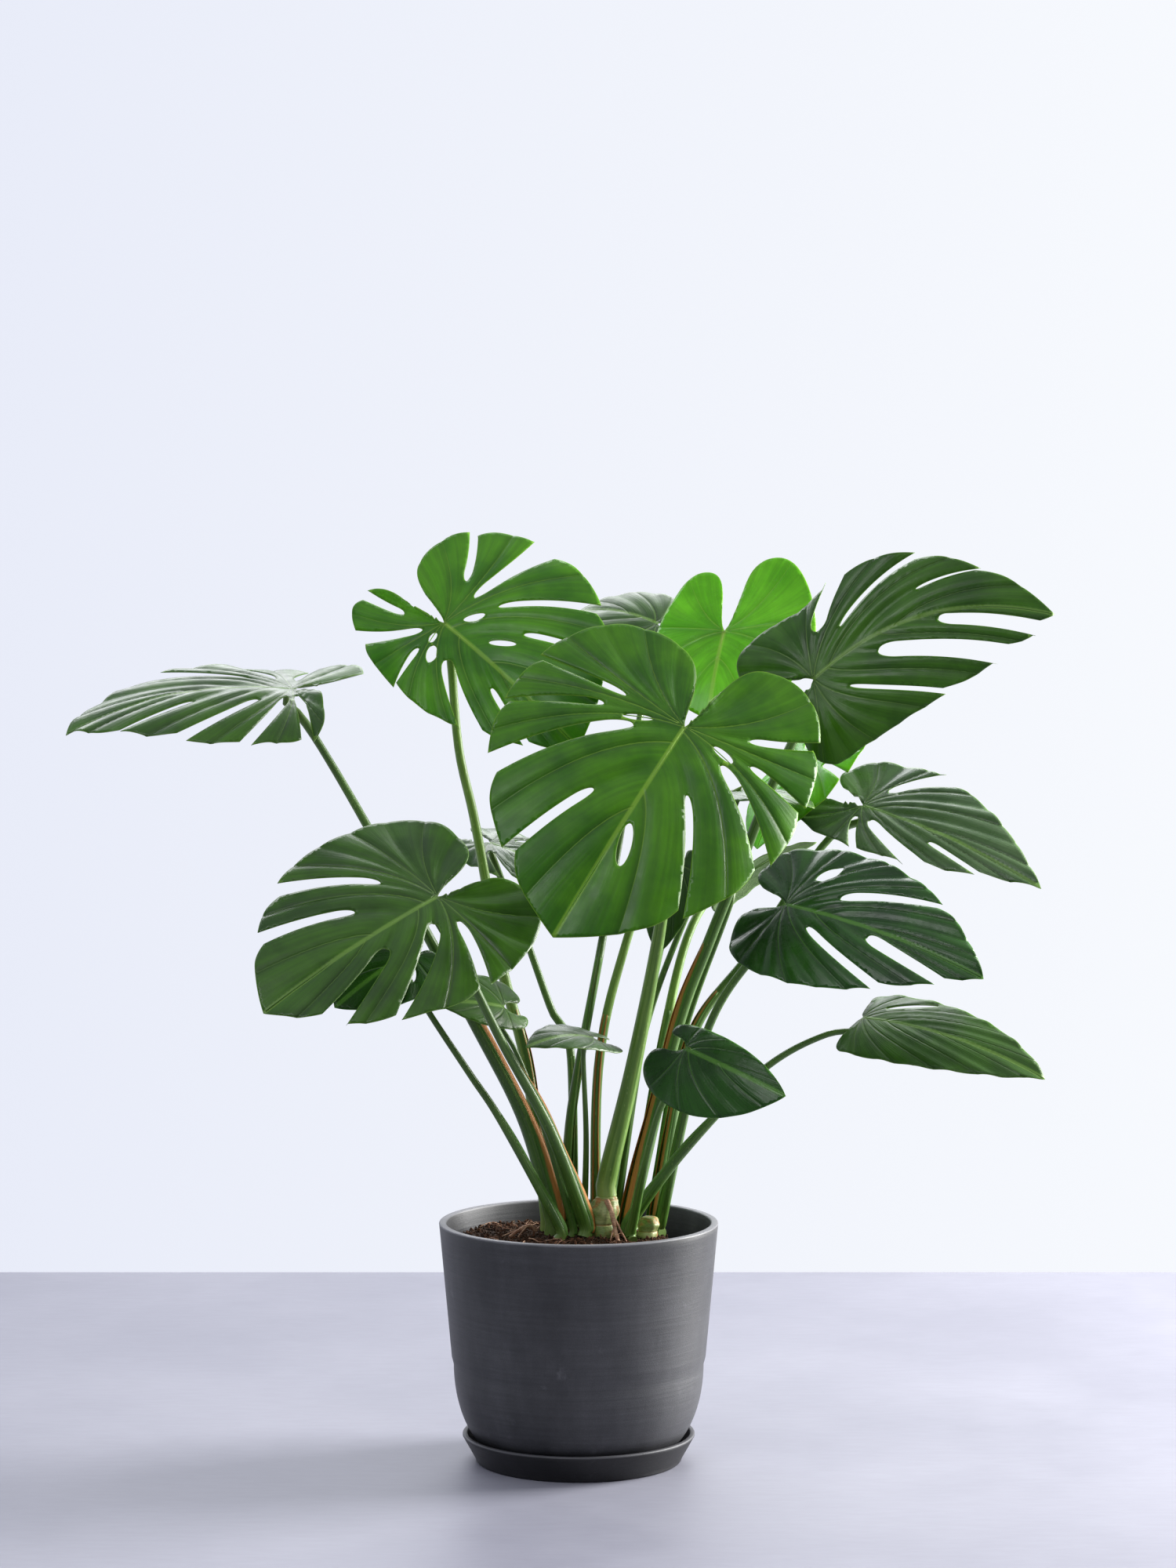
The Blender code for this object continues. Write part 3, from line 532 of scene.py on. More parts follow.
def tube_growth() -> Growth:
    """A round tube along every line of the guide, as thick as the guide's own "thickness" says."""
    growth = Growth("tube_along_line")
    sides = growth.offer("Sides", "NodeSocketInt")
    finish = growth.offer("Finish", "NodeSocketMaterial")
    thickness = growth.add("GeometryNodeInputNamedAttribute", {"Name": "thickness"}, data_type="FLOAT").outputs[0]
    line = growth.add("GeometryNodeMeshToCurve", {0: growth.entry.outputs["Guide"]}).outputs[0]
    circle = growth.add("GeometryNodeCurvePrimitiveCircle", {"Resolution": sides, "Radius": 1.0}).outputs[0]
    spot = growth.add("GeometryNodeInputPosition").outputs[0]
    section = growth.add("GeometryNodeStoreNamedAttribute", {"Geometry": circle, "Name": "ring", "Value": spot},
                         data_type="FLOAT_VECTOR").outputs[0]
    tube = growth.add("GeometryNodeCurveToMesh", {"Curve": line, "Profile Curve": section, "Scale": thickness,
                                                  "Fill Caps": True}).outputs[0]
    growth.close(tube, finish)
    return growth


def crumb_growth() -> Growth:
    """Small lumps scattered over the guide, each turned, stretched and dented in its own way."""
    growth = Growth("crumbs_on_surface")
    density = growth.offer("Density", "NodeSocketFloat")
    size = growth.offer("Size", "NodeSocketFloat")
    flat = growth.offer("Stretch", "NodeSocketVector")
    seed = growth.offer("Seed", "NodeSocketInt")
    finish = growth.offer("Finish", "NodeSocketMaterial")
    points = growth.add("GeometryNodeDistributePointsOnFaces",
                        {"Mesh": growth.entry.outputs["Guide"], "Density": density, "Seed": seed}).outputs[0]
    lump = growth.add("GeometryNodeMeshIcoSphere", {"Radius": size, "Subdivisions": 2}).outputs[0]
    lump = growth.add("GeometryNodeTransform", {"Geometry": lump, "Scale": flat}).outputs[0]
    turn = growth.add("FunctionNodeRandomValue", {0: (0, 0, 0), 1: (6.28, 6.28, 6.28), "Seed": seed},
                      data_type="FLOAT_VECTOR").outputs[0]
    scale = growth.add("FunctionNodeRandomValue", {0: (0.35, 0.35, 0.35), 1: (1.0, 1.0, 1.0), "Seed": seed},
                       data_type="FLOAT_VECTOR").outputs[0]
    lumps = growth.add("GeometryNodeInstanceOnPoints",
                       {"Points": points, "Instance": lump, "Rotation": turn, "Scale": scale}).outputs[0]
    real = growth.add("GeometryNodeRealizeInstances", {"Geometry": lumps}).outputs[0]
    dents = growth.add("ShaderNodeTexNoise", {"Scale": 420.0, "Detail": 2.0}).outputs["Color"]
    centred = growth.add("ShaderNodeVectorMath", {0: dents, 1: (0.5, 0.5, 0.5)}, operation="SUBTRACT").outputs[0]
    depth = growth.add("ShaderNodeVectorMath", {0: centred, "Scale": 0.0022}, operation="SCALE").outputs[0]
    dented = growth.add("GeometryNodeSetPosition", {"Geometry": real, "Offset": depth}).outputs[0]
    growth.close(dented, finish)
    return growth


def add_object(name: str, mesh: bpy.types.Mesh, *finishes: bpy.types.Material) -> bpy.types.Object:
    """Link a mesh object with its materials."""
    obj = bpy.data.objects.new(name, mesh)
    bpy.context.scene.collection.objects.link(obj)
    for finish in finishes:
        mesh.materials.append(finish)
    return obj


def settle(piece: bpy.types.Object, slot: str, *nodes: str) -> None:
    """Tie a finished piece to the frame and let it stand for its CAD nodes."""
    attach(piece, BODY)
    if nodes:
        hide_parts(*nodes)
    log.info("%s: %d faces", piece.name, len(piece.data.polygons))


def line_guide(name: str, lines: Sequence[Tuple[np.ndarray, np.ndarray]]) -> bpy.types.Mesh:
    """A mesh of open lines for the tube tree.

    Args:
        name: The mesh's name.
        lines: For each line its points and its radii, in millimetres.

    Returns:
        The mesh, with "thickness" and "along" stored on its points.
    """
    points, edges, radii, shares = [], [], [], []
    for path, radius in lines:
        first = sum(len(p) for p in points)
        points.append(path)
        radii.append(np.broadcast_to(radius, len(path)))
        shares.append(np.linspace(0, 1, len(path)))
        edges += [(first + i, first + i + 1) for i in range(len(path) - 1)]
    mesh = bpy.data.meshes.new(name)
    mesh.from_pydata((np.vstack(points) * MM).tolist(), edges, [])
    mesh.attributes.new("thickness", "FLOAT", "POINT").data.foreach_set("value", np.concatenate(radii) * MM)
    mesh.attributes.new("along", "FLOAT", "POINT").data.foreach_set("value", np.concatenate(shares))
    return mesh


def turned(name: str, profile: Sequence[Pair], centre: Pair, sides: int,
           finish: bpy.types.Material) -> bpy.types.Object:
    """Spin a profile of (radius, height) pairs round an upright axis.

    Args:
        name: The piece's name.
        profile: The profile. One that starts and ends on the axis makes a solid, and a closed one a ring.
        centre: Where the axis stands.
        sides: Steps round.
        finish: The material.

    Returns:
        The piece.
    """
    shape = bmesh.new()
    points = [shape.verts.new((radius * MM, 0.0, height * MM)) for radius, height in profile]
    edges = [shape.edges.new(pair) for pair in zip(points, points[1:])]
    if profile[0][0] > 0:
        edges.append(shape.edges.new((points[-1], points[0])))
    bmesh.ops.spin(shape, geom=points + edges, cent=(0, 0, 0), axis=(0, 0, 1), angle=2 * math.pi,
                   steps=sides, use_merge=True, use_duplicate=False)
    bmesh.ops.remove_doubles(shape, verts=shape.verts, dist=0.00001)
    bmesh.ops.recalc_face_normals(shape, faces=shape.faces)
    bmesh.ops.translate(shape, verts=shape.verts, vec=(centre[0] * MM, centre[1] * MM, 0.0))
    mesh = bpy.data.meshes.new(name)
    shape.to_mesh(mesh)
    shape.free()
    mesh.shade_smooth()
    return add_object(name, mesh, finish)


def arc(centre: Pair, radius: Pair, start: float, end: float, count: int) -> List[Pair]:
    """Points along a stretch of an ellipse, with angles in degrees from the +X side."""
    turns = [math.radians(start + (end - start) * i / (count - 1)) for i in range(count)]
    return [(centre[0] + radius[0] * math.cos(a), centre[1] + radius[1] * math.sin(a)) for a in turns]


def wobble(points: np.ndarray, size: float, seed: float) -> np.ndarray:
    """A smooth unevenness from -1 to 1 over points in millimetres, the same each time."""
    x, y, z = points[..., 0] / size, points[..., 1] / size, points[..., 2] / size
    total = (np.sin(x * 1.7 + seed) * np.sin(y * 1.9 + 2.1 * seed) + np.sin(z * 1.5 + x * 1.1 + 0.7 * seed)
             + 0.6 * np.sin(x * 3.7 - y * 2.9 + seed) * np.sin(z * 3.1 + 1.3 * seed)
             + 0.4 * np.sin(y * 6.1 + x * 5.3 + seed))
    return total / 3.0


def inside_polygon(points: np.ndarray, ring: np.ndarray) -> np.ndarray:
    """Which flat points lie inside a closed ring."""
    start, end = ring, np.roll(ring, -1, axis=0)
    rise = np.where(end[:, 1] == start[:, 1], 1e-9, end[:, 1] - start[:, 1])
    slope = ((end[:, 0] - start[:, 0]) / rise)[None]
    found = []
    for part in np.array_split(points, max(1, len(points) // 2000)):
        x, y = part[:, 0:1], part[:, 1:2]
        spans = (start[None, :, 1] > y) != (end[None, :, 1] > y)
        found.append((spans & (x < start[None, :, 0] + (y - start[None, :, 1]) * slope)).sum(1) % 2 == 1)
    return np.concatenate(found)


def clearance(points: np.ndarray, ring: np.ndarray) -> np.ndarray:
    """The distance from each flat point to the nearest corner of a ring."""
    found = []
    for part in np.array_split(points, max(1, len(points) // 1000)):
        found.append(np.sqrt(((part[:, None] - ring[None]) ** 2).sum(-1)).min(1))
    return np.concatenate(found)


@dataclass(frozen=True)
class Leaf:
    """One leaf blade with its stalk; lengths in millimetres, angles in degrees.

    A slit is (place, depth, mouth, waist): place runs along the margin from 0 at the stalk notch to 1 at the
    tip, depth is the share of the way in to the midrib, mouth and waist are its gaps at the margin and inside.
    A hole is (side, place, reach, length, width), with reach from 0 at the midrib to 1 at the margin.
    """

    name: str
    joint: Point
    tip: Point
    left: float
    right: float
    back_left: float
    back_right: float
    roll: float
    foot: Point
    route: Tuple[Point, ...]
    stalk: Tuple[float, float]
    sag: float = 8.0
    fold: Tuple[float, float] = (4.0, 4.0)
    curl: Tuple[float, float] = (20.0, 20.0)
    lift: float = 0.0
    droop: float = 0.0
    bow: float = 0.0
    fullness: float = 1.0
    notch: float = 9.0
    slits_left: Tuple[Tuple[float, float, float, float], ...] = ()
    slits_right: Tuple[Tuple[float, float, float, float], ...] = ()
    holes: Tuple[Tuple[str, float, float, float, float], ...] = ()
    finish: str = "mature"
    sheath: float = 0.42
    dryness: float = 0.05


def cubic(start: Pair, first: Pair, second: Pair, end: Pair, count: int) -> np.ndarray:
    """Points of a cubic Bezier curve.

    Args:
        start: First point.
        first: Handle that sets the direction out of the start.
        second: Handle that sets the direction into the end.
        end: Last point.
        count: How many points.

    Returns:
        An array of count points.
    """
    t = np.linspace(0.0, 1.0, count)[:, None]
    a, b, c, d = (np.array(p, float) for p in (start, first, second, end))
    return (1 - t) ** 3 * a + 3 * (1 - t) ** 2 * t * b + 3 * (1 - t) * t * t * c + t ** 3 * d


class HalfBlade:
    """One side of a leaf, flat: x runs out from the midrib and y from the stalk joint to the tip."""

    FAN = 0.30
    LAST_VEIN = 0.62

    def __init__(self, length: float, width: float, back: float, notch: float, fullness: float) -> None:
        """Lay out the margin.

        Args:
            length: Joint to tip.
            width: Midrib to the widest point.
            back: How far the basal lobe reaches behind the joint.
            notch: Width of the gap beside the joint.
            fullness: 1 for a broad end, less for a long pointed one.
        """
        self.length = length
        inner = cubic((0, 0), (1.6 * notch, -0.25 * back), (0.2 * notch, -back), (0.42 * width, -back), 40)
        shoulder = cubic((0.42 * width, -back), (0.80 * width, -back), (width, -0.10 * length),
                         (width, 0.18 * length), 40)
        flank = cubic((width, 0.18 * length), (width, (0.18 + 0.42 * fullness) * length),
                      (0.40 * fullness * width, (0.80 + 0.10 * fullness) * length), (0, length), 60)
        self.rim = np.vstack([inner, shoulder[1:], flank[1:]])
        walked = np.concatenate([[0.0], np.cumsum(np.linalg.norm(np.diff(self.rim, axis=0), axis=1))])
        self.perimeter = walked[-1]
        self.place = walked / walked[-1]

    def margin(self, place: np.ndarray) -> np.ndarray:
        """Points of the margin at the given places."""
        return np.stack([np.interp(place, self.place, self.rim[:, i]) for i in (0, 1)], axis=-1)

    def vein(self, place: np.ndarray, reach: np.ndarray) -> np.ndarray:
        """Points on the side veins.

        Args:
            place: Where each vein meets the margin.
            reach: How far along the vein, 0 at the midrib and 1 at the margin.

        Returns:
            Flat points.
        """
        end = self.margin(place)
        climb = np.clip(end[..., 1] / self.length - self.FAN, 0, 1) / (1 - self.FAN)
        start = self.LAST_VEIN * self.length * climb ** 3.2
        bend_x = 0.55 * end[..., 0]
        bend_y = start + 0.22 * (end[..., 1] - start)
        x = 2 * (1 - reach) * reach * bend_x + reach ** 2 * end[..., 0]
        y = (1 - reach) ** 2 * start + 2 * (1 - reach) * reach * bend_y + reach ** 2 * end[..., 1]
        return np.stack([x, y], axis=-1)

    def half_mouth(self, row: Tuple[float, float, float, float]) -> float:
        """Half of a split's gap, measured along the margin as a share of the margin's length."""
        place = np.array([row[0] - 0.005, row[0] + 0.005])
        rim = np.diff(self.margin(place), axis=0)[0]
        vein = np.diff(self.vein(np.full(2, row[0]), np.array([0.97, 1.0])), axis=0)[0]
        sine = abs(rim[0] * vein[1] - rim[1] * vein[0]) / np.linalg.norm(rim) / np.linalg.norm(vein)
        return 0.5 * row[2] / self.perimeter / max(sine, 0.35)

    def slit(self, row: Tuple[float, float, float, float], step: float) -> np.ndarray:
        """One split's edge, in from the margin on the side of the notch and out again nearer the tip."""
        place, depth, mouth, waist = row
        count = max(4, int(depth * 0.3 * self.perimeter / step))
        t = np.linspace(1, 0, count) ** 1.5
        reach = 1 - depth + depth * t
        line = self.vein(np.full(count, place), reach)
        along = np.gradient(line, axis=0)
        along /= np.linalg.norm(along, axis=1)[:, None]
        across = np.stack([-along[:, 1], along[:, 0]], axis=1)
        round_end = np.sqrt(np.clip(1 - (1 - np.clip(t / 0.22, 0, 1)) ** 2, 0, 1))
        half = (0.5 * (waist + (mouth - waist) * t ** 2) * round_end)[:, None]
        first, second = line + across * half, line - across * half
        nearer = self.vein(np.array([place - 0.03]), np.array([0.8]))[0]
        if np.linalg.norm(first[1] - nearer) > np.linalg.norm(second[1] - nearer):
            first, second = second, first
        return np.vstack([first[reach < 0.985], second[(reach < 0.94) & (t > 0)][::-1]])

    def outline(self, slits: Tuple[Tuple[float, float, float, float], ...], step: float) -> np.ndarray:
        """The edge from the joint round to the tip, with every split cut in.

        Args:
            slits: The side's splits.
            step: Spacing of the points.

        Returns:
            Flat points, joint first and tip last.
        """
        pieces: List[np.ndarray] = []
        low = 0.0
        for row in tuple(sorted(slits)) + (None,):
            high = row[0] - self.half_mouth(row) if row else 1.0
            count = max(3, int((high - low) * self.perimeter / step))
            place = np.linspace(low, high, count)
            edge = self.margin(place)
            if low > 0:
                pull = 0.30 * np.clip(1 - (place - low) / 0.05, 0, 1) ** 2
                edge = edge + (self.vein(place, np.full(count, 0.9)) - edge) * pull[:, None] * 1.5
            pieces.append(edge)
            if row:
                pieces.append(self.slit(row, step))
                low = row[0] + self.half_mouth(row)
        return np.vstack(pieces)

    def locate(self, flat: np.ndarray) -> Tuple[np.ndarray, np.ndarray]:
        """Find the vein and the reach of flat points.

        Args:
            flat: Points of this half, x outwards.

        Returns:
            Their places and reaches.
        """
        places, reaches = np.meshgrid(np.linspace(0.02, 1, 90), np.linspace(0.02, 1, 26), indexing="ij")
        known = self.vein(places, reaches).reshape(-1, 2)
        found = np.empty(len(flat), int)
        for start in range(0, len(flat), 2000):
            part = flat[start:start + 2000]
            found[start:start + 2000] = ((part[:, None] - known[None]) ** 2).sum(-1).argmin(1)
        place, reach = places.reshape(-1)[found], reaches.reshape(-1)[found]
        tiny = 1e-3
        for _ in range(5):
            miss = flat - self.vein(place, reach)
            by_place = (self.vein(place + tiny, reach) - self.vein(place - tiny, reach)) / (2 * tiny)
            by_reach = (self.vein(place, reach + tiny) - self.vein(place, reach - tiny)) / (2 * tiny)
            area = by_place[:, 0] * by_reach[:, 1] - by_place[:, 1] * by_reach[:, 0]
            area = np.where(np.abs(area) < 1e-3, 1e9, area)
            step_place = (miss[:, 0] * by_reach[:, 1] - miss[:, 1] * by_reach[:, 0]) / area
            step_reach = (by_place[:, 0] * miss[:, 1] - by_place[:, 1] * miss[:, 0]) / area
            place = np.clip(place + np.clip(step_place, -0.02, 0.02), 0, 1)
            reach = np.clip(reach + np.clip(step_reach, -0.05, 0.05), 0, 1)
        return place, reach


class Blade:
    """A whole leaf blade: its flat outline and the way it lies in space."""

    def __init__(self, leaf: Leaf) -> None:
        """Lay out both halves.

        Args:
            leaf: The leaf's sizes and pose.
        """
        self.leaf = leaf
        self.joint = np.array(leaf.joint, float)
        self.chord = np.array(leaf.tip, float) - self.joint
        self.length = float(np.linalg.norm(self.chord))
        self.right = HalfBlade(self.length, leaf.right, leaf.back_right, leaf.notch, leaf.fullness)
        self.left = HalfBlade(self.length, leaf.left, leaf.back_left, leaf.notch, leaf.fullness)

    def outline(self, step: float) -> np.ndarray:
        """The whole flat edge, counter-clockwise seen from above, starting at the joint."""
        right = self.right.outline(self.leaf.slits_right, step)
        left = self.left.outline(self.leaf.slits_left, step) * (-1, 1)
        return np.vstack([right, left[::-1][1:-1]])

    def holes(self, step: float) -> List[np.ndarray]:
        """The flat edge of each hole: an ellipse that lies along its vein."""
        rings = []
        for side, place, reach, length, width in self.leaf.holes:
            half = self.right if side == "right" else self.left
            centre = half.vein(np.array(place), np.array(reach))
            along = half.vein(np.array(place), np.array(reach + 0.02)) - centre
            along /= np.linalg.norm(along)
            across = np.array([-along[1], along[0]])
            count = max(6, int(math.pi * (length + width) / 2 / step))
            turn = np.linspace(0, 2 * math.pi, count, endpoint=False)
            ring = centre + np.outer(np.cos(turn) * length / 2, along) + np.outer(np.sin(turn) * width / 2, across)
            rings.append(ring if side == "right" else ring * (-1, 1))
        return rings

    def axes(self) -> Tuple[np.ndarray, np.ndarray, np.ndarray]:
        """Unit vectors along the midrib, out to the right half and up from the upper face."""
        along = self.chord / self.length
        up = np.array([0.0, 0.0, 1.0])
        face = up - up.dot(along) * along
        face /= np.linalg.norm(face)
        across = np.cross(along, face)
        roll = math.radians(self.leaf.roll)
        face = face * math.cos(roll) + across * math.sin(roll)
        return along, np.cross(along, face), face

    def place(self, flat: np.ndarray, lift: np.ndarray = None) -> np.ndarray:
        """Bend flat points into the leaf's place in space.

        Args:
            flat: Points on the flat blade.
            lift: Height of each point above the blade's middle surface.

        Returns:
            Points in space, in millimetres.
        """
        leaf = self.leaf
        along, across, face = self.axes()
        x, y = flat[:, 0], flat[:, 1]
        share = y / self.length
        ahead = share >= 0
        rise = np.where(ahead, 4 * leaf.sag * share * (1 - share), 4 * leaf.sag * share)
        slope = np.where(ahead, 4 * leaf.sag * (1 - 2 * share), 4 * leaf.sag) / self.length
        normal = (face[None] - slope[:, None] * along[None]) / np.sqrt(1 + slope ** 2)[:, None]
        on_left = x < 0
        width = np.where(on_left, leaf.left, leaf.right)
        out = np.abs(x) / width
        fold = np.radians(np.where(on_left, leaf.fold[0], leaf.fold[1]))
        curl = np.radians(np.where(on_left, leaf.curl[0], leaf.curl[1])) + 1e-4
        reach = width * (np.sin(fold) - np.sin(fold - curl * out)) / curl
        height = width * (np.cos(fold - curl * out) - np.cos(fold)) / curl
        back = np.where(on_left, leaf.back_left, leaf.back_right)
        height = height + leaf.lift * np.clip(-y / back, 0, 2) ** 1.5
        height = height - leaf.droop * np.clip((share - 0.5) / 0.5, 0, 2) ** 2
        if lift is not None:
            height = height + lift
        reach = np.where(on_left, -reach, reach) - 4 * leaf.bow * share * (1 - share) * ahead
        return (self.joint + share[:, None] * self.chord + rise[:, None] * face
                + reach[:, None] * across + height[:, None] * normal)

    def stalk_top(self, gap: float) -> Tuple[np.ndarray, np.ndarray]:
        """Where the stalk ends under the blade, and the way it points there.

        Args:
            gap: Distance below the blade's middle surface.

        Returns:
            The end point and a unit vector up into the blade.
        """
        spot = np.array([[0.0, 5.0], [1.0, 5.0], [0.0, 6.0]])
        here, aside, ahead = self.place(spot)
        up = np.cross(aside - here, ahead - here)
        up /= np.linalg.norm(up)
        return here - gap * up, up


def smooth_path(points: List[np.ndarray], count: int) -> np.ndarray:
    """A smooth curve through the points, read off at even steps.

    Args:
        points: The points that the curve passes through.
        count: How many points to return.

    Returns:
        An array of count points.
    """
    p = np.array(points, float)
    p = np.vstack([2 * p[0] - p[1], p, 2 * p[-1] - p[-2]])
    t = np.linspace(0, 1, 24, endpoint=False)[:, None]
    runs = []
    for a, b, c, d in zip(p[:-3], p[1:-2], p[2:-1], p[3:]):
        runs.append(0.5 * (2 * b + (c - a) * t + (2 * a - 5 * b + 4 * c - d) * t ** 2
                           + (3 * b - a - 3 * c + d) * t ** 3))
    dense = np.vstack(runs + [p[-2][None]])
    walked = np.concatenate([[0.0], np.cumsum(np.linalg.norm(np.diff(dense, axis=0), axis=1))])
    even = np.linspace(0, walked[-1], count)
    return np.stack([np.interp(even, walked, dense[:, i]) for i in range(3)], axis=1)


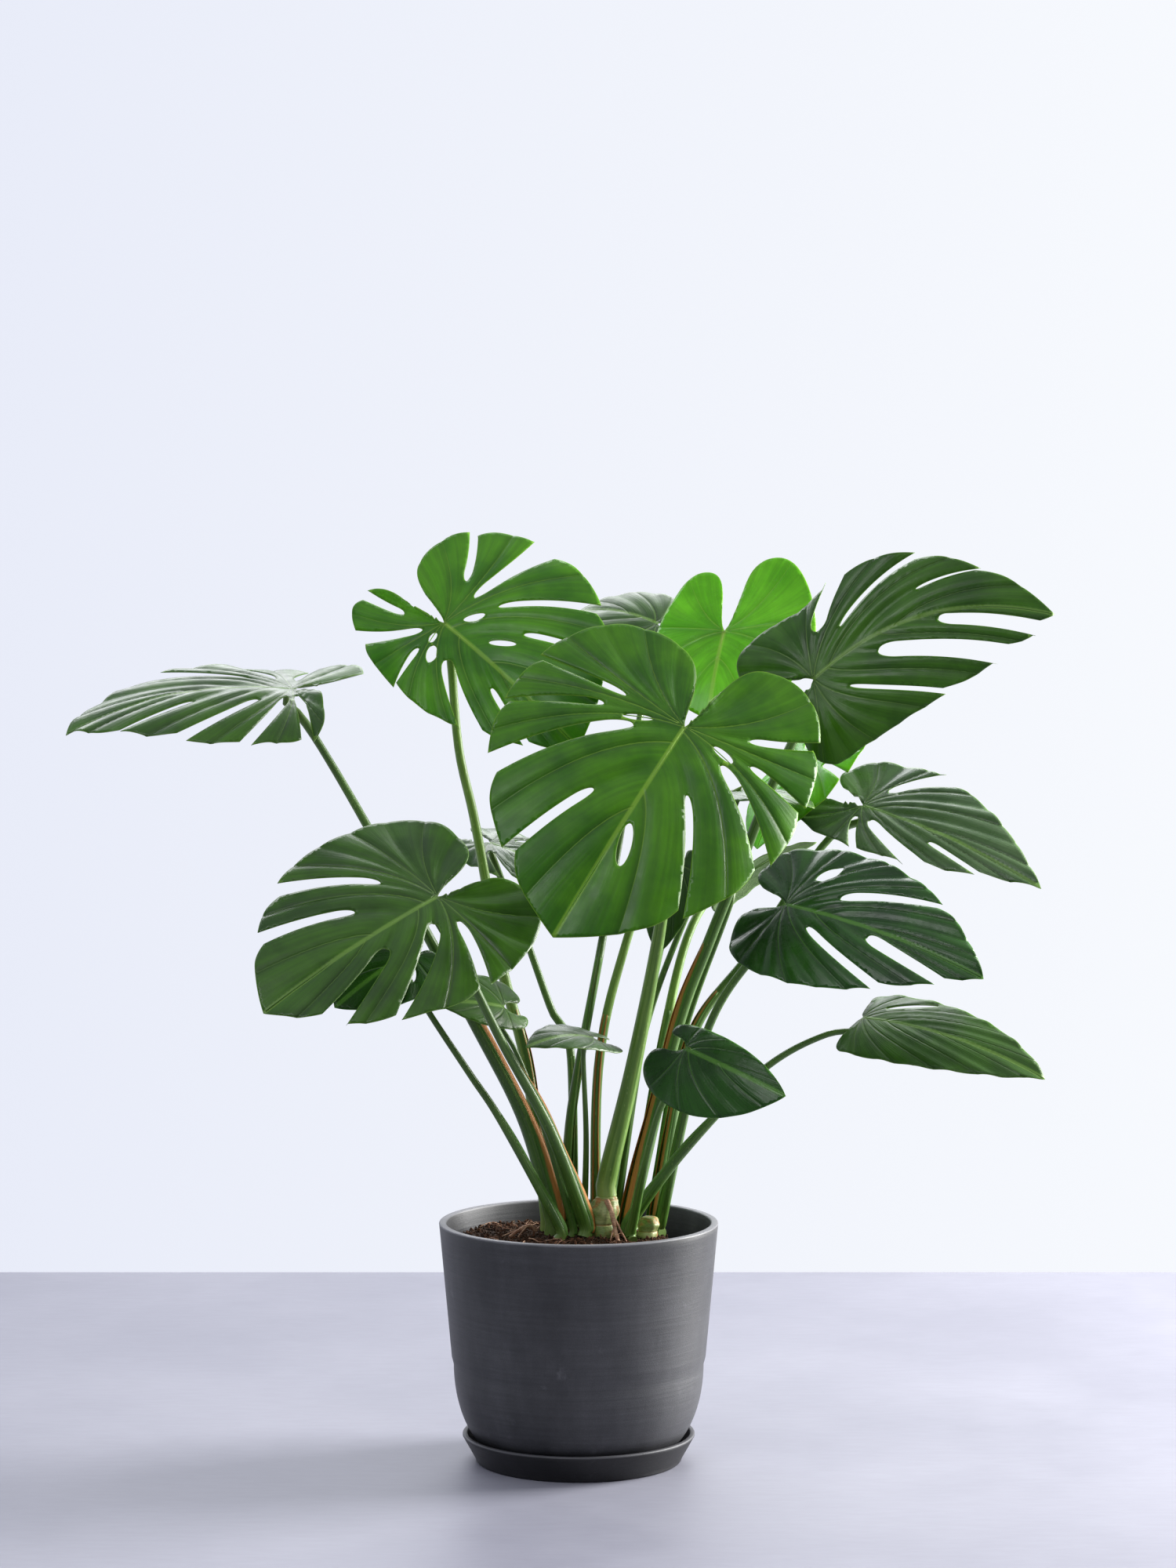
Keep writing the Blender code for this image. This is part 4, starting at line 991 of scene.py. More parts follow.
LEAVES = (
    Leaf("front_centre", joint=(110, -130, 795), tip=(-25, -270, 590), left=155, right=178,
         back_left=120, back_right=95, roll=-42, sag=12, fold=(4, 4), curl=(22, 18), lift=-6,
         foot=(30, 0, 288), route=((57, -15, 420), (84, -45, 565), (98, -85, 685)), stalk=(11, 5),
         sheath=0.0, dryness=0.0,
         slits_right=((.44, .62, 5, 8), (.55, .55, 6, 10), (.68, .72, 22, 14), (.84, .52, 14, 10)),
         slits_left=((.36, .52, 6, 9), (.49, .50, 9, 9), (.63, .66, 20, 14), (.80, .62, 6, 8)),
         holes=(("right", .63, .26, 32, 8), ("left", .55, .30, 26, 10), ("left", .94, .38, 50, 14)),
         finish="bright"),
    Leaf("upper_left", joint=(-145, 40, 900), tip=(0, -60, 770), left=152, right=90,
         back_left=92, back_right=100, roll=48, sag=10,
         foot=(-34, 22, 247), route=((-56, 35, 421), (-83, 45, 526), (-112, 50, 683), (-130, 45, 768)),
         stalk=(8, 4.5), sheath=0.36, dryness=0.3,
         slits_left=((.31, .52, 9, 9), (.47, .72, 34, 12), (.68, .62, 16, 8), (.80, .50, 8, 7)),
         slits_right=((.23, .42, 12, 8), (.35, .72, 12, 10), (.52, .57, 5, 8), (.76, .60, 22, 15),
                      (.89, .50, 8, 6)),
         holes=(("left", .72, .20, 24, 9), ("left", .84, .30, 30, 8), ("right", .60, .22, 14, 8),
                ("right", .66, .40, 22, 12)),
         finish="bright"),
    Leaf("far_left", joint=(-305, 0, 830), tip=(-540, -60, 785), left=118, right=100,
         back_left=22, back_right=80, roll=-5, sag=18, fold=(-4, 10), curl=(48, 10), lift=15,
         foot=(-27, -4, 247), route=((-57, -10, 368), (-113, -15, 478), (-225, 0, 682), (-289, 0, 790)),
         stalk=(10, 4), sheath=0.46, dryness=0.9,
         slits_left=((.30, .78, 14, 10), (.48, .75, 14, 10), (.66, .62, 14, 8), (.83, .50, 10, 6)),
         slits_right=((.34, .60, 9, 9), (.52, .62, 14, 10), (.70, .60, 12, 8))),
    Leaf("lower_left", joint=(-145, -140, 620), tip=(-315, -270, 515), left=120, right=134,
         back_left=82, back_right=78, roll=-38, sag=8,
         foot=(6, -20, 247), route=((-31, -55, 366), (-80, -90, 462), (-111, -115, 529)), stalk=(8, 4),
         sheath=0.5, dryness=0.85,
         slits_right=((.68, .60, 14, 10), (.82, .56, 20, 9)),
         slits_left=((.52, .70, 12, 11), (.73, .74, 8, 16), (.86, .62, 26, 15))),
    Leaf("upper_right", joint=(250, 0, 840), tip=(505, -20, 910), left=88, right=102,
         back_left=78, back_right=28, roll=66, sag=10, bow=34,
         foot=(56, 18, 247), route=((104, 15, 459), (140, 10, 559), (179, 5, 657), (207, 0, 728)),
         stalk=(9, 5), sheath=0.5, dryness=0.8,
         slits_left=((.50, .52, 24, 20), (.70, .60, 4, 5), (.84, .35, 3, 3)),
         slits_right=((.62, .62, 5, 4), (.80, .70, 26, 16), (.93, .66, 22, 14))),
    Leaf("upper_back", joint=(160, 130, 890), tip=(140, 70, 795), left=105, right=84,
         back_left=100, back_right=78, roll=0, sag=5, lift=10,
         foot=(18, 30, 247), route=((22, 30, 427), (52, 48, 556), (122, 95, 760)), stalk=(6, 4),
         sheath=0.34, dryness=0.6,
         finish="young"),
    Leaf("back_left", joint=(88, 200, 897), tip=(0, 260, 910), left=60, right=60,
         back_left=45, back_right=45, roll=-28, sag=8,
         foot=(-14, 26, 247), route=((-10, 16, 355), (3, 22, 438), (26, 68, 557), (60, 140, 750)),
         stalk=(6, 3.5),
         slits_left=((.45, .6, 10, 8), (.68, .6, 10, 8)), slits_right=((.45, .6, 10, 8),)),
    Leaf("right", joint=(310, 90, 700), tip=(490, -40, 620), left=88, right=64,
         back_left=50, back_right=70, roll=32, sag=10, fullness=.62,
         foot=(86, 34, 247), route=((121, 50, 446), (189, 70, 543), (270, 90, 660)), stalk=(7, 4),
         sheath=0.5, dryness=0.7,
         slits_left=((.50, .66, 24, 14),),
         slits_right=((.48, .72, 8, 8), (.66, .66, 20, 12), (.84, .40, 6, 6)),
         finish="silvery"),
    Leaf("lower_right", joint=(215, -120, 610), tip=(410, -230, 545), left=94, right=90,
         back_left=50, back_right=38, roll=42, sag=12, fullness=.85,
         foot=(90, 8, 247), route=((135, -40, 464), (189, -80, 558)), stalk=(6, 4),
         slits_left=((.76, .62, 5, 13),), slits_right=((.72, .68, 10, 8), (.89, .62, 12, 14)),
         holes=(("left", .50, .55, 32, 14),), finish="dark"),
    Leaf("low_right", joint=(300, -60, 485), tip=(480, -170, 435), left=52, right=58,
         back_left=6, back_right=4, roll=30, sag=14, notch=3,
         foot=(56, -20, 247), route=((110, -40, 338), (193, -55, 427), (260, -60, 466)), stalk=(7, 3),
         sheath=0.42, dryness=0.0,
         holes=(("left", .50, .62, 55, 6),)),
    Leaf("small_front", joint=(110, -160, 465), tip=(210, -230, 425), left=30, right=62,
         back_left=26, back_right=38, roll=64, sag=5, curl=(40, 20),
         foot=(58, -39, 247), route=((84, -100, 389),), stalk=(5, 3), sheath=0.3, dryness=0.0, finish="dark"),
    Leaf("inner_left", joint=(-181, -40, 552), tip=(-255, -100, 500), left=48, right=45,
         back_left=25, back_right=25, roll=-45, sag=5,
         foot=(-22, -36, 247), route=((-82, -42, 372), (-115, -42, 422), (-160, -40, 490)), stalk=(6, 3),
         holes=(("left", .60, .5, 20, 8),), finish="dark"),
    Leaf("small_left", joint=(-79, -32, 493), tip=(-150, -78, 503), left=30, right=46,
         back_left=28, back_right=28, roll=-45, sag=4,
         foot=(-8, -18, 247), route=((-38, -28, 366), (-66, -30, 443)), stalk=(4, 2.5), sheath=0.3, dryness=0.0),
    Leaf("middle_left", joint=(-98, 122, 657), tip=(50, 10, 580), left=56, right=46,
         back_left=45, back_right=45, roll=14, sag=10,
         foot=(-6, 44, 247), route=((-9, 56, 433), (-30, 66, 479), (-60, 84, 560)), stalk=(6, 3.5),
         slits_left=((.55, .6, 8, 8),), slits_right=((.55, .6, 8, 8),), finish="silvery"),
    Leaf("small_middle", joint=(16, -42, 461), tip=(-55, -100, 458), left=26, right=30,
         back_left=34, back_right=34, roll=-24, sag=8,
         foot=(6, 12, 247), route=((8, -12, 350),), stalk=(4, 2.5), sheath=0.0, dryness=0.0, finish="silvery"),
    Leaf("back_right", joint=(255, 160, 745), tip=(195, 125, 650), left=75, right=75,
         back_left=95, back_right=95, roll=0, sag=6,
         foot=(60, 44, 247), route=((112, 95, 533), (165, 150, 620), (222, 188, 695)), stalk=(7, 4),
         slits_left=((.40, .6, 10, 8), (.62, .6, 12, 8)), slits_right=((.40, .6, 10, 8), (.62, .6, 10, 8)),
         finish="young"),
    Leaf("inner_right", joint=(164, 100, 714), tip=(256, 60, 699), left=50, right=45,
         back_left=30, back_right=30, roll=5, sag=8,
         foot=(34, 64, 247), route=((80, 88, 480),), stalk=(5, 3), finish="silvery"),
    Leaf("under_right", joint=(152, 66, 603), tip=(258, 62, 662), left=40, right=32,
         back_left=14, back_right=14, roll=-25, sag=8,
         foot=(80, 60, 247), route=((112, 82, 440),), stalk=(5, 3)),
    Leaf("small_right", joint=(105, 30, 640), tip=(85, -15, 548), left=30, right=30,
         back_left=20, back_right=20, roll=-10, sag=5,
         foot=(42, 42, 247), route=((70, 46, 450),), stalk=(4, 3)),
)


@dataclass
class LeafBlade:
    """The finely made blade of one leaf with its ribs.

    Veins part each half into cells. Within a cell the blade sinks to its vein and puffs up beside it, and each
    finger between two splits bends in its own way.
    """

    leaf: Leaf
    number: int
    step: float = 3.4
    thickness: float = 0.7
    puff: float = 1.9
    groove: float = 0.8
    cell_width: float = 0.15
    finger_bend: float = 6.0
    midrib: Pair = (1.9, 0.45)
    rib: Pair = (0.70, 0.18)

    def __post_init__(self) -> None:
        """Lay out the blade and part its halves into cells."""
        self.blade = Blade(self.leaf)
        self.halves = {Side.RIGHT: self.blade.right, Side.LEFT: self.blade.left}
        self.splits = {Side.RIGHT: sorted(self.leaf.slits_right), Side.LEFT: sorted(self.leaf.slits_left)}
        self.random = np.random.default_rng(40 + self.number)
        self.bends = {side: self.random.uniform(-1, 1, len(self.splits[side]) + 1) for side in Side}
        self.size = min(1.0, self.blade.length / 240.0)
        self.relief = 1.0 if self.leaf.slits_left or self.leaf.slits_right else 0.35
        self.borders = {side: self.part_cells(self.splits[side]) for side in Side}

    def part_cells(self, splits: List[Split]) -> np.ndarray:
        """The borders of the vein cells along the margin: every split is one, and wide fingers are shared out."""
        marks = [0.04] + [row[0] for row in splits] + [1.0]
        borders = [0.0]
        for low, high in zip(marks, marks[1:]):
            count = max(1, round((high - low) / self.cell_width * min(1.0, 0.45 + 0.55 * self.size)))
            borders += [low + (high - low) * (i + 1) / count for i in range(count)]
        return np.array(borders)

    def lift(self, side: Side, place: np.ndarray, reach: np.ndarray) -> np.ndarray:
        """How far the blade rises from its smooth middle surface.

        Args:
            side: The half.
            place: Where each point's vein meets the margin.
            reach: How far along the vein each point is.

        Returns:
            Heights in millimetres.
        """
        borders = self.borders[side]
        phase = np.interp(place, borders, np.arange(len(borders)))
        off_vein = np.abs(2 * (phase - np.floor(np.minimum(phase, len(borders) - 1.001))) - 1)
        width = self.cell_size(side, place, reach)
        broad = np.clip(width / 35.0, 0, 1.3)
        rounded = self.puff * broad * (np.sin(np.pi * off_vein ** 0.8) - 0.9 * off_vein ** 3)
        sunk = -self.groove * np.exp(-(off_vein * width / 2 / 2.6) ** 2) * np.clip(width / 14.0, 0, 1)
        fade = np.clip(reach / 0.25, 0, 1) * (1 - 0.35 * reach)
        marks = np.array([0.0] + [row[0] for row in self.splits[side]] + [1.0])
        depths = np.array([0.0] + [row[1] for row in self.splits[side]] + [0.0])
        finger = np.clip(np.searchsorted(marks, place, side="right") - 1, 0, len(marks) - 2)
        inner = np.array([1 - min(d for d in pair if d > 0) if max(pair) > 0 else 0.3
                          for pair in zip(depths, depths[1:])])[finger]
        free = np.clip((reach - inner) / (1 - inner), 0, 1) ** 2
        last = np.where(finger == len(marks) - 2, 0.0, 1.0)
        bend = self.finger_bend * self.bends[side][np.minimum(finger, len(self.bends[side]) - 1)] * free * last
        ruffle = 1.2 * np.sin(place * 46 + self.number) * reach ** 5
        return self.size * ((rounded + sunk) * fade * self.relief + bend + ruffle)

    def cell_size(self, side: Side, place: np.ndarray, reach: np.ndarray) -> np.ndarray:
        """How wide the vein's cell is at each point, in millimetres."""
        half, borders = self.halves[side], self.borders[side]
        tiny = 0.004
        low, high = np.clip(place - tiny, 0, 1), np.clip(place + tiny, 0, 1)
        spread = np.linalg.norm(half.vein(high, reach) - half.vein(low, reach), axis=-1) / (high - low)
        middles = 0.5 * (borders[1:] + borders[:-1])
        return np.clip(spread * np.interp(place, middles, np.diff(borders)), 0.5, 90)

    def triangles(self) -> Tuple[np.ndarray, np.ndarray, np.ndarray]:
        """Fill the flat outline, with a straight row of points under the midrib.

        Returns:
            The flat points, the triangles, and the distance from each point to the edge.
        """
        edge = self.blade.outline(0.8 * self.step)
        holes = self.blade.holes(0.6 * self.step)
        tip = int(np.argmin(np.linalg.norm(edge - (0, self.blade.length), axis=1)))
        spine_y = np.arange(self.step, self.blade.length - 0.5 * self.step, 0.9 * self.step)
        spine = np.stack([np.zeros_like(spine_y), spine_y], axis=1)
        rings = [edge] + holes
        low, high = edge.min(0), edge.max(0)
        rows = np.arange(low[1], high[1], self.step * 0.87)
        grid = np.array([(x + (i % 2) * self.step / 2, y) for i, y in enumerate(rows)
                         for x in np.arange(low[0], high[0], self.step)])
        keep = inside_polygon(grid, edge)
        for ring in holes:
            keep &= ~inside_polygon(grid, ring)
        grid = grid[keep]
        keep = clearance(grid, spine) > 0.6 * self.step
        for ring in rings:
            keep &= clearance(grid, ring) > 0.6 * self.step
        points = np.vstack(rings + [spine, grid[keep]])
        loops, first = [], 0
        for ring in rings:
            loops += [(first + i, first + (i + 1) % len(ring)) for i in range(len(ring))]
            first += len(ring)
        chain = [0] + list(range(first, first + len(spine))) + [tip]
        loops += list(zip(chain, chain[1:]))
        made = delaunay_2d_cdt([Vector(p) for p in points], loops, [], 0, 1e-5)
        flat = np.array([tuple(v) for v in made[0]])
        faces = np.array([tuple(face) for face in made[2]])
        centres = flat[faces].mean(1)
        solid = inside_polygon(centres, edge)
        for ring in holes:
            solid &= ~inside_polygon(centres, ring)
        faces = faces[solid]
        used, faces = np.unique(faces, return_inverse=True)
        flat = flat[used]
        return flat, faces.reshape(-1, 3), np.minimum.reduce([clearance(flat, ring) for ring in rings])

    def make_blade(self, finish: LeafFinish, face: bpy.types.Material,
                   underside: bpy.types.Material) -> bpy.types.Object:
        """Build the blade and store what its skin needs.

        Args:
            finish: The finish; its name is passed on as a slot that is not used.
            face: Upper skin.
            underside: Lower skin.

        Returns:
            The blade.
        """
        flat, faces, margin = self.triangles()
        outward = np.maximum(np.abs(flat[:, 0]), 0.4)
        located = {side: self.halves[side].locate(np.stack([outward, flat[:, 1]], axis=1)) for side in Side}
        lifts = {side: self.lift(side, *located[side]) for side in Side}
        on_right = flat[:, 0] >= 0
        lift = np.where(on_right, lifts[Side.RIGHT], lifts[Side.LEFT])
        lift = np.where(np.abs(flat[:, 0]) < 1e-6, 0.5 * (lifts[Side.RIGHT] + lifts[Side.LEFT]), lift)
        mesh = bpy.data.meshes.new("blade_" + self.leaf.name)
        mesh.from_pydata((self.blade.place(flat, lift) * MM).tolist(), [], faces.tolist())
        corner_right = np.repeat(flat[faces].mean(1)[:, 0] > 0, 3)
        corners = faces.reshape(-1)
        lie = np.zeros((len(corners), 2))
        spread = np.zeros((len(corners), 2))
        for side, chosen in ((Side.RIGHT, corner_right), (Side.LEFT, ~corner_right)):
            place, reach = located[side]
            borders = self.borders[side]
            phase = np.interp(place, borders, np.arange(len(borders)))
            lie[chosen] = np.stack([phase, reach], axis=1)[corners[chosen]]
            spread[chosen, 0] = (self.cell_size(side, place, reach) * MM)[corners[chosen]]
        spread[:, 1] = np.abs(flat[:, 0])[corners] * MM
        mesh.uv_layers.new(name="lie").data.foreach_set("uv", lie.reshape(-1))
        mesh.uv_layers.new(name="spread").data.foreach_set("uv", spread.reshape(-1))
        mesh.attributes.new("margin", "FLOAT", "POINT").data.foreach_set("value", margin)
        tint = np.full(len(flat), self.random.uniform(-1, 1))
        mesh.attributes.new("tint", "FLOAT", "POINT").data.foreach_set("value", tint)
        mesh.shade_smooth()
        blade = add_object("blade_" + self.leaf.name, mesh, face, underside)
        wall = blade.modifiers.new("thickness", "SOLIDIFY")
        wall.thickness = self.thickness * MM
        wall.offset = -1.0
        wall.material_offset = 1
        settle(blade, "leaf_" + finish.name, "leaf_" + self.leaf.name)
        return blade

    def make_ribs(self, tubes: Growth, finish: LeafFinish, pale: bpy.types.Material) -> bpy.types.Object:
        """Build the midrib and one rib along every side vein.

        Args:
            tubes: The tube tree.
            finish: The finish; its name is passed on as a slot that is not used.
            pale: The ribs' material.

        Returns:
            The ribs.
        """
        length = self.blade.length
        y = np.linspace(4.0, length - 3.0, 40)
        centre = self.blade.place(np.stack([np.zeros(40), y], axis=1), np.full(40, -1.3 * self.size))
        lines = [(centre, self.size * np.linspace(self.midrib[0], self.midrib[1], 40))]
        for side in Side:
            half, borders = self.halves[side], self.borders[side]
            for low, high in zip(borders[1:], borders[2:]):
                reach = np.linspace(0.04, 0.93, 22)
                place = np.full(22, 0.5 * (low + high))
                flat = half.vein(place, reach) * (side.value, 1)
                path = self.blade.place(flat, self.lift(side, place, reach) - 0.55)
                lines.append((path, self.size * np.linspace(self.rib[0], self.rib[1], 22)))
        ribs = tubes.grow("ribs_" + self.leaf.name, line_guide("ribs", lines), Sides=7, Finish=pale)
        settle(ribs, "leaf_" + finish.name)
        return ribs


@dataclass
class Stalk:
    """A leaf's stalk with the sheath that wraps its foot."""

    leaf: Leaf
    points: int = 44
    rise: float = 14.0
    sides: int = 18
    wing: float = 4.6
    wing_rows: int = 46
    joint_swell: float = 0.16

    def path(self) -> Tuple[np.ndarray, np.ndarray]:
        """The stalk's line from its foot to the underside of its blade, and its radii."""
        thick, thin = self.leaf.stalk
        end, up = Blade(self.leaf).stalk_top(0.3 + 0.35 * thin)
        foot = np.array(self.leaf.foot, float)
        route = [foot + (0, 0, -3.0), foot + (0, 0, self.rise), *self.leaf.route, end - self.rise * up, end]
        path = smooth_path(route, self.points)
        share = np.linspace(0, 1, self.points)
        radii = thin + (thick - thin) * (1 - share) ** 1.6
        radii = radii * (1 + self.joint_swell * np.exp(-((share - 0.94) / 0.03) ** 2))
        return path, radii

    def make_tube(self, tubes: Growth, green: bpy.types.Material) -> bpy.types.Object:
        """Build the round stalk."""
        guide = line_guide("stalk", [self.path()])
        tube = tubes.grow("petiole_" + self.leaf.name, guide, Sides=self.sides, Finish=green)
        settle(tube, "stalk_green", "stalk_" + self.leaf.name)
        return tube

    def make_sheath(self, papery: bpy.types.Material) -> Optional[bpy.types.Object]:
        """Build the two wings on the stalk's inner side, tapering to a free point at the top.

        Args:
            papery: The sheath's material.

        Returns:
            The sheath, or nothing on a stalk without one.
        """
        if self.leaf.sheath <= 0:
            return None
        path, radii = self.path()
        walked = np.linspace(0, 1, len(path))
        share = np.linspace(0.015, self.leaf.sheath, self.wing_rows)
        line = np.stack([np.interp(share, walked, path[:, i]) for i in range(3)], axis=1)
        radius = np.interp(share, walked, radii)
        tangent = np.gradient(line, axis=0)
        tangent /= np.linalg.norm(tangent, axis=1)[:, None]
        inward = np.array([20.0, 0.0, 0.0]) - line * (1, 1, 0) + (0, -14.0, 30.0)
        inward -= (inward * tangent).sum(1)[:, None] * tangent
        inward /= np.linalg.norm(inward, axis=1)[:, None]
        beside = np.cross(tangent, inward)
        climb = share / self.leaf.sheath
        width = self.wing * (0.5 + 0.5 * self.leaf.dryness) * (radius / 7.0) * np.clip(1 - climb ** 5, 0, 1) * (0.75 + 0.35 * np.sin(climb * 9))
        width *= np.clip(climb / 0.08, 0.2, 1)
        points, faces, maps = [], [], []
        rows, columns = self.wing_rows, 5
        for turn in (-1.0, 1.0):
            first = sum(len(p) for p in points)
            strip = []
            for column in range(columns):
                v = column / (columns - 1)
                angle = math.radians(62) * turn * (1 - 0.75 * v)
                spoke = math.cos(angle) * inward + math.sin(angle) * beside
                strip.append(line + spoke * (radius * 0.92 + width * v)[:, None] + tangent * (1.5 * v * climb)[:, None])
                maps.append(np.stack([share, np.full(rows, v)], axis=1))
            points.append(np.vstack(strip))
            for column in range(columns - 1):
                for row in range(rows - 1):
                    a = first + column * rows + row
                    face = (a, a + 1, a + rows + 1, a + rows)
                    faces.append(face if turn > 0 else face[::-1])
        mesh = bpy.data.meshes.new("sheath_" + self.leaf.name)
        mesh.from_pydata((np.vstack(points) * MM).tolist(), [], faces)
        corners = np.array([corner for face in faces for corner in face])
        mesh.uv_layers.new(name="lie").data.foreach_set("uv", np.vstack(maps)[corners].reshape(-1))
        dryness = np.full(len(mesh.vertices), self.leaf.dryness)
        mesh.attributes.new("dryness", "FLOAT", "POINT").data.foreach_set("value", dryness)
        mesh.shade_smooth()
        sheath = add_object("sheath_" + self.leaf.name, mesh, papery)
        wall = sheath.modifiers.new("thickness", "SOLIDIFY")
        wall.thickness = 0.8 * MM
        wall.offset = 0.0
        settle(sheath, "stalk_green")
        return sheath


@dataclass
class Planter:
    """The tapered round-bottomed pot and its saucer."""

    rim_radius: float = 150.0
    rim_height: float = 258.0
    base: float = 6.6
    wall: float = 8.0
    taper: float = 0.0925
    shoulder_height: float = 105.0
    shoulder_radius: float = 134.5
    corner: float = 55.0
    drain_radius: float = 10.0
    saucer_top: float = 125.0
    saucer_foot: float = 111.0
    saucer_height: float = 30.0
    saucer_wall: float = 5.5
    gap: float = 0.3
    sides: int = 168
    lip: float = 1.8

    def side(self, inset: float, count: int) -> List[Pair]:
        """The pot's side from below the lip down to the flat base, moved in by the wall's thickness."""
        straight = [(self.rim_radius - self.taper * (self.rim_height - height) - inset, height)
                    for height in np.linspace(self.rim_height - self.lip, self.shoulder_height + 8.0, 22)]
        centre = (self.shoulder_radius - self.corner, self.shoulder_height)
        radius = (self.corner - inset, self.shoulder_height - self.base - inset)
        return straight + arc(centre, radius, 0, -90, count)

    def make_pot(self, clay: bpy.types.Material) -> None:
        """Turn the pot, with a soft lip and a drain hole."""
        lip, top = self.lip, self.rim_height
        outer, inner = self.rim_radius, self.rim_radius - self.wall
        rim = arc((inner + lip, top - lip), (lip, lip), 180, 90, 6) + arc((outer - lip, top - lip), (lip, lip), 90, 12, 6)
        hole = [(self.drain_radius, self.base), (self.drain_radius, self.base + self.wall)]
        profile = rim + self.side(0.0, 30)[1:] + hole + self.side(self.wall, 26)[::-1][:-1]
        settle(turned("planter_pot", profile, (0, 0), self.sides, clay), "charcoal_clay", "pot")

    def make_saucer(self, clay: bpy.types.Material) -> None:
        """Turn the saucer, with soft edges and a shallow well."""
        top, foot, height = self.saucer_top, self.saucer_foot, self.saucer_height
        floor = self.base - self.gap
        inner_foot = foot - 4.0
        rim_in = top - self.saucer_wall
        profile = [(0.0, 0.0), (40.0, 0.0), (80.0, 0.0), (foot - 2.0, 0.0)]
        profile += arc((foot - 2.0, 2.0), (2.0, 2.0), -80, -10, 5)
        profile += [(foot + (top - foot) * t, 2.5 + (height - 5.0) * t) for t in np.linspace(0.05, 1.0, 10)]
        profile += arc((top - 1.6, height - 1.6), (1.6, 1.6), 10, 90, 5)
        profile += arc((rim_in + 1.6, height - 1.6), (1.6, 1.6), 90, 170, 5)
        profile += [(rim_in + (inner_foot - rim_in) * t, height - 3.0 + (floor + 6.0 - height) * t)
                    for t in np.linspace(0.1, 1.0, 8)]
        profile += [(inner_foot - 1.0, floor + 1.2), (inner_foot - 3.0, floor), (80.0, floor), (40.0, floor), (0.0, floor)]
        settle(turned("saucer_dish", profile, (0, 0), self.sides, clay), "dark_clay", "saucer")


